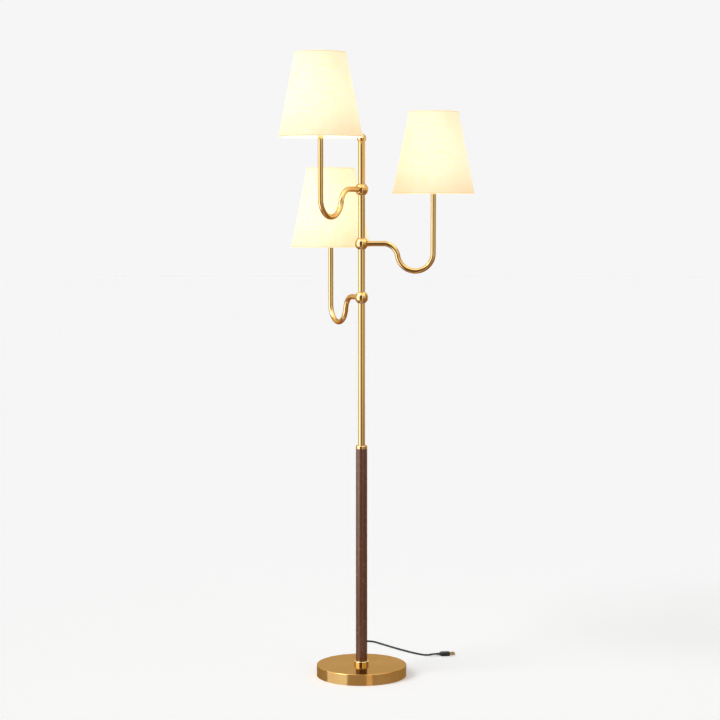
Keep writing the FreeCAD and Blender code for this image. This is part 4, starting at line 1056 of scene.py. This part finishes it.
# %% Lay the floor
FLOOR_SIZE = 60.0
FLOOR_GREY = 0.92
FLOOR_GLOW = 0.178
MIRRORED_GREY = 0.05
FOOT_RADIUS = 0.12
WARM_BOARDS = (0.62, 0.33, 0.16, 1)


def grey_colour(tree, value):
    """The same number for red, green and blue."""
    return node(tree, "CombineColor", {0: value, 1: value, 2: value}).outputs[0]


def straight_view(tree):
    """The light path, and 1 for rays that come from the camera directly or through glass."""
    path = node(tree, "LightPath").outputs
    return path, maths(tree, "MAXIMUM", path["Is Camera Ray"], path["Is Transmission Ray"])


def floor_finish():
    """Grey that keeps the shadow, plus a glow: even for the camera, by the compass for mirrors.
    The window's light on it is strong beside the foot and far off. In between, the floor that the
    brass mirrors is warm, as boards would be, and that gives the balls their amber undersides."""
    finish, tree, shader = new_finish("pale_floor")
    place = object_place(tree)
    distance = node(tree, "VectorMath", {0: place}, operation="LENGTH").outputs["Value"]
    beside = rerange(tree, distance, 0.45, 0.30)
    far = rerange(tree, distance, 0.9, 1.6)
    window = maths(tree, "ADD", maths(tree, "MULTIPLY_ADD", beside, 1.05, 0.4),
                   maths(tree, "MULTIPLY", far, 1.8))
    warmth = maths(tree, "MINIMUM", rerange(tree, distance, 0.25, 0.5, 0.14, 1.0),
                   rerange(tree, distance, 9.0, 2.0))
    mirrored = mirrored_room(
        tree, place, Window=window,
        Foot=maths(tree, "MINIMUM", maths(tree, "DIVIDE", FOOT_RADIUS, distance), 1.0),
        Gap=rerange(tree, distance, 0.3, 3.0, 0.52, 0.18),
        Strip=rerange(tree, distance, 5.0, 12.0, 0.95, 1.6),
        Side=rerange(tree, distance, 3.0, 10.0, 0.55, 0.66),
        Behind=rerange(tree, distance, 0.5, 2.0, 0.5, PALE[0]),
        Tint=blend_colours(tree, warmth, (1, 1, 1, 1), WARM_BOARDS))
    path, straight = straight_view(tree)
    glossy = path["Is Glossy Ray"]
    glow = grey_colour(tree, maths(tree, "MULTIPLY", straight, FLOOR_GLOW))
    feed(tree, shader, Emission_Color=blend_colours(tree, glossy, glow, mirrored),
         Base_Color=grey_colour(tree, rerange(tree, glossy, 0.0, 1.0, FLOOR_GREY, MIRRORED_GREY)))
    plain(shader, Roughness=1.0, Specular_IOR_Level=0.0, Emission_Strength=1.0)
    return finish


half_floor = FLOOR_SIZE / 2
floor_mesh = bpy.data.meshes.new("studio_floor")
floor_mesh.from_pydata([(-half_floor, -half_floor, 0), (half_floor, -half_floor, 0),
                        (half_floor, half_floor, 0), (-half_floor, half_floor, 0)], [], [(0, 1, 2, 3)])
studio_floor = bpy.data.objects.new("studio_floor", floor_mesh)
bpy.context.scene.collection.objects.link(studio_floor)
floor_mesh.materials.append(floor_finish())
print("floor of", FLOOR_SIZE, "metres")

# %% Light the room
SOFT_LEVEL = 0.42
CEILING = 1.25


def room_light():
    """Soft even light for surfaces, the pale level for the camera, and the compass for mirrors, with
    bright walls to either side from about fourteen degrees up and a pale ceiling above thirty."""
    world = bpy.data.worlds.new("studio_room")
    bpy.context.scene.world = world
    world.use_nodes = True
    tree = world.node_tree
    background = tree.nodes["Background"]
    direction = node(tree, "TexCoord").outputs["Generated"]
    upward = node(tree, "SeparateXYZ", {0: direction}).outputs[2]
    mirrored = mirrored_room(tree, direction, Gap=0.12, Window=2.3, Strip=1.7, Behind=PALE[0],
                             Side=rerange(tree, upward, 0.20, 0.28, 0.62, 2.2))
    ceiling = grey_colour(tree, rerange(tree, upward, 0.50, 0.70, 0.0, CEILING))
    mirrored = blend_colours(tree, 1.0, mirrored, ceiling, "LIGHTEN")
    path, straight = straight_view(tree)
    level = blend_colours(tree, path["Is Glossy Ray"], grey_colour(tree, SOFT_LEVEL), mirrored)
    tree.links.new(blend_colours(tree, straight, level, PALE), background.inputs["Color"])
    background.inputs["Strength"].default_value = 1.0


def softbox(name, azimuth, elevation, strength, spread):
    """A broad even light from far off. Azimuth 0 shines from the camera's side, + from its right."""
    lamp = bpy.data.lights.new(name, "SUN")
    lamp.energy, lamp.angle = strength, math.radians(spread)
    holder = bpy.data.objects.new(name, lamp)
    bpy.context.scene.collection.objects.link(holder)
    a, e = math.radians(azimuth) + CAMERA_TURN, math.radians(elevation)
    from_there = Vector((math.sin(a) * math.cos(e), -math.cos(a) * math.cos(e), math.sin(e)))
    holder.rotation_mode = "QUATERNION"
    holder.rotation_quaternion = from_there.to_track_quat("Z", "Y")


room_light()
softbox("window_light", -62, 42, 1.5, 32)
softbox("fill_light", 55, 50, 0.28, 45)
bpy.context.scene.view_settings.view_transform = "Standard"
print("two soft lights and the room are set")
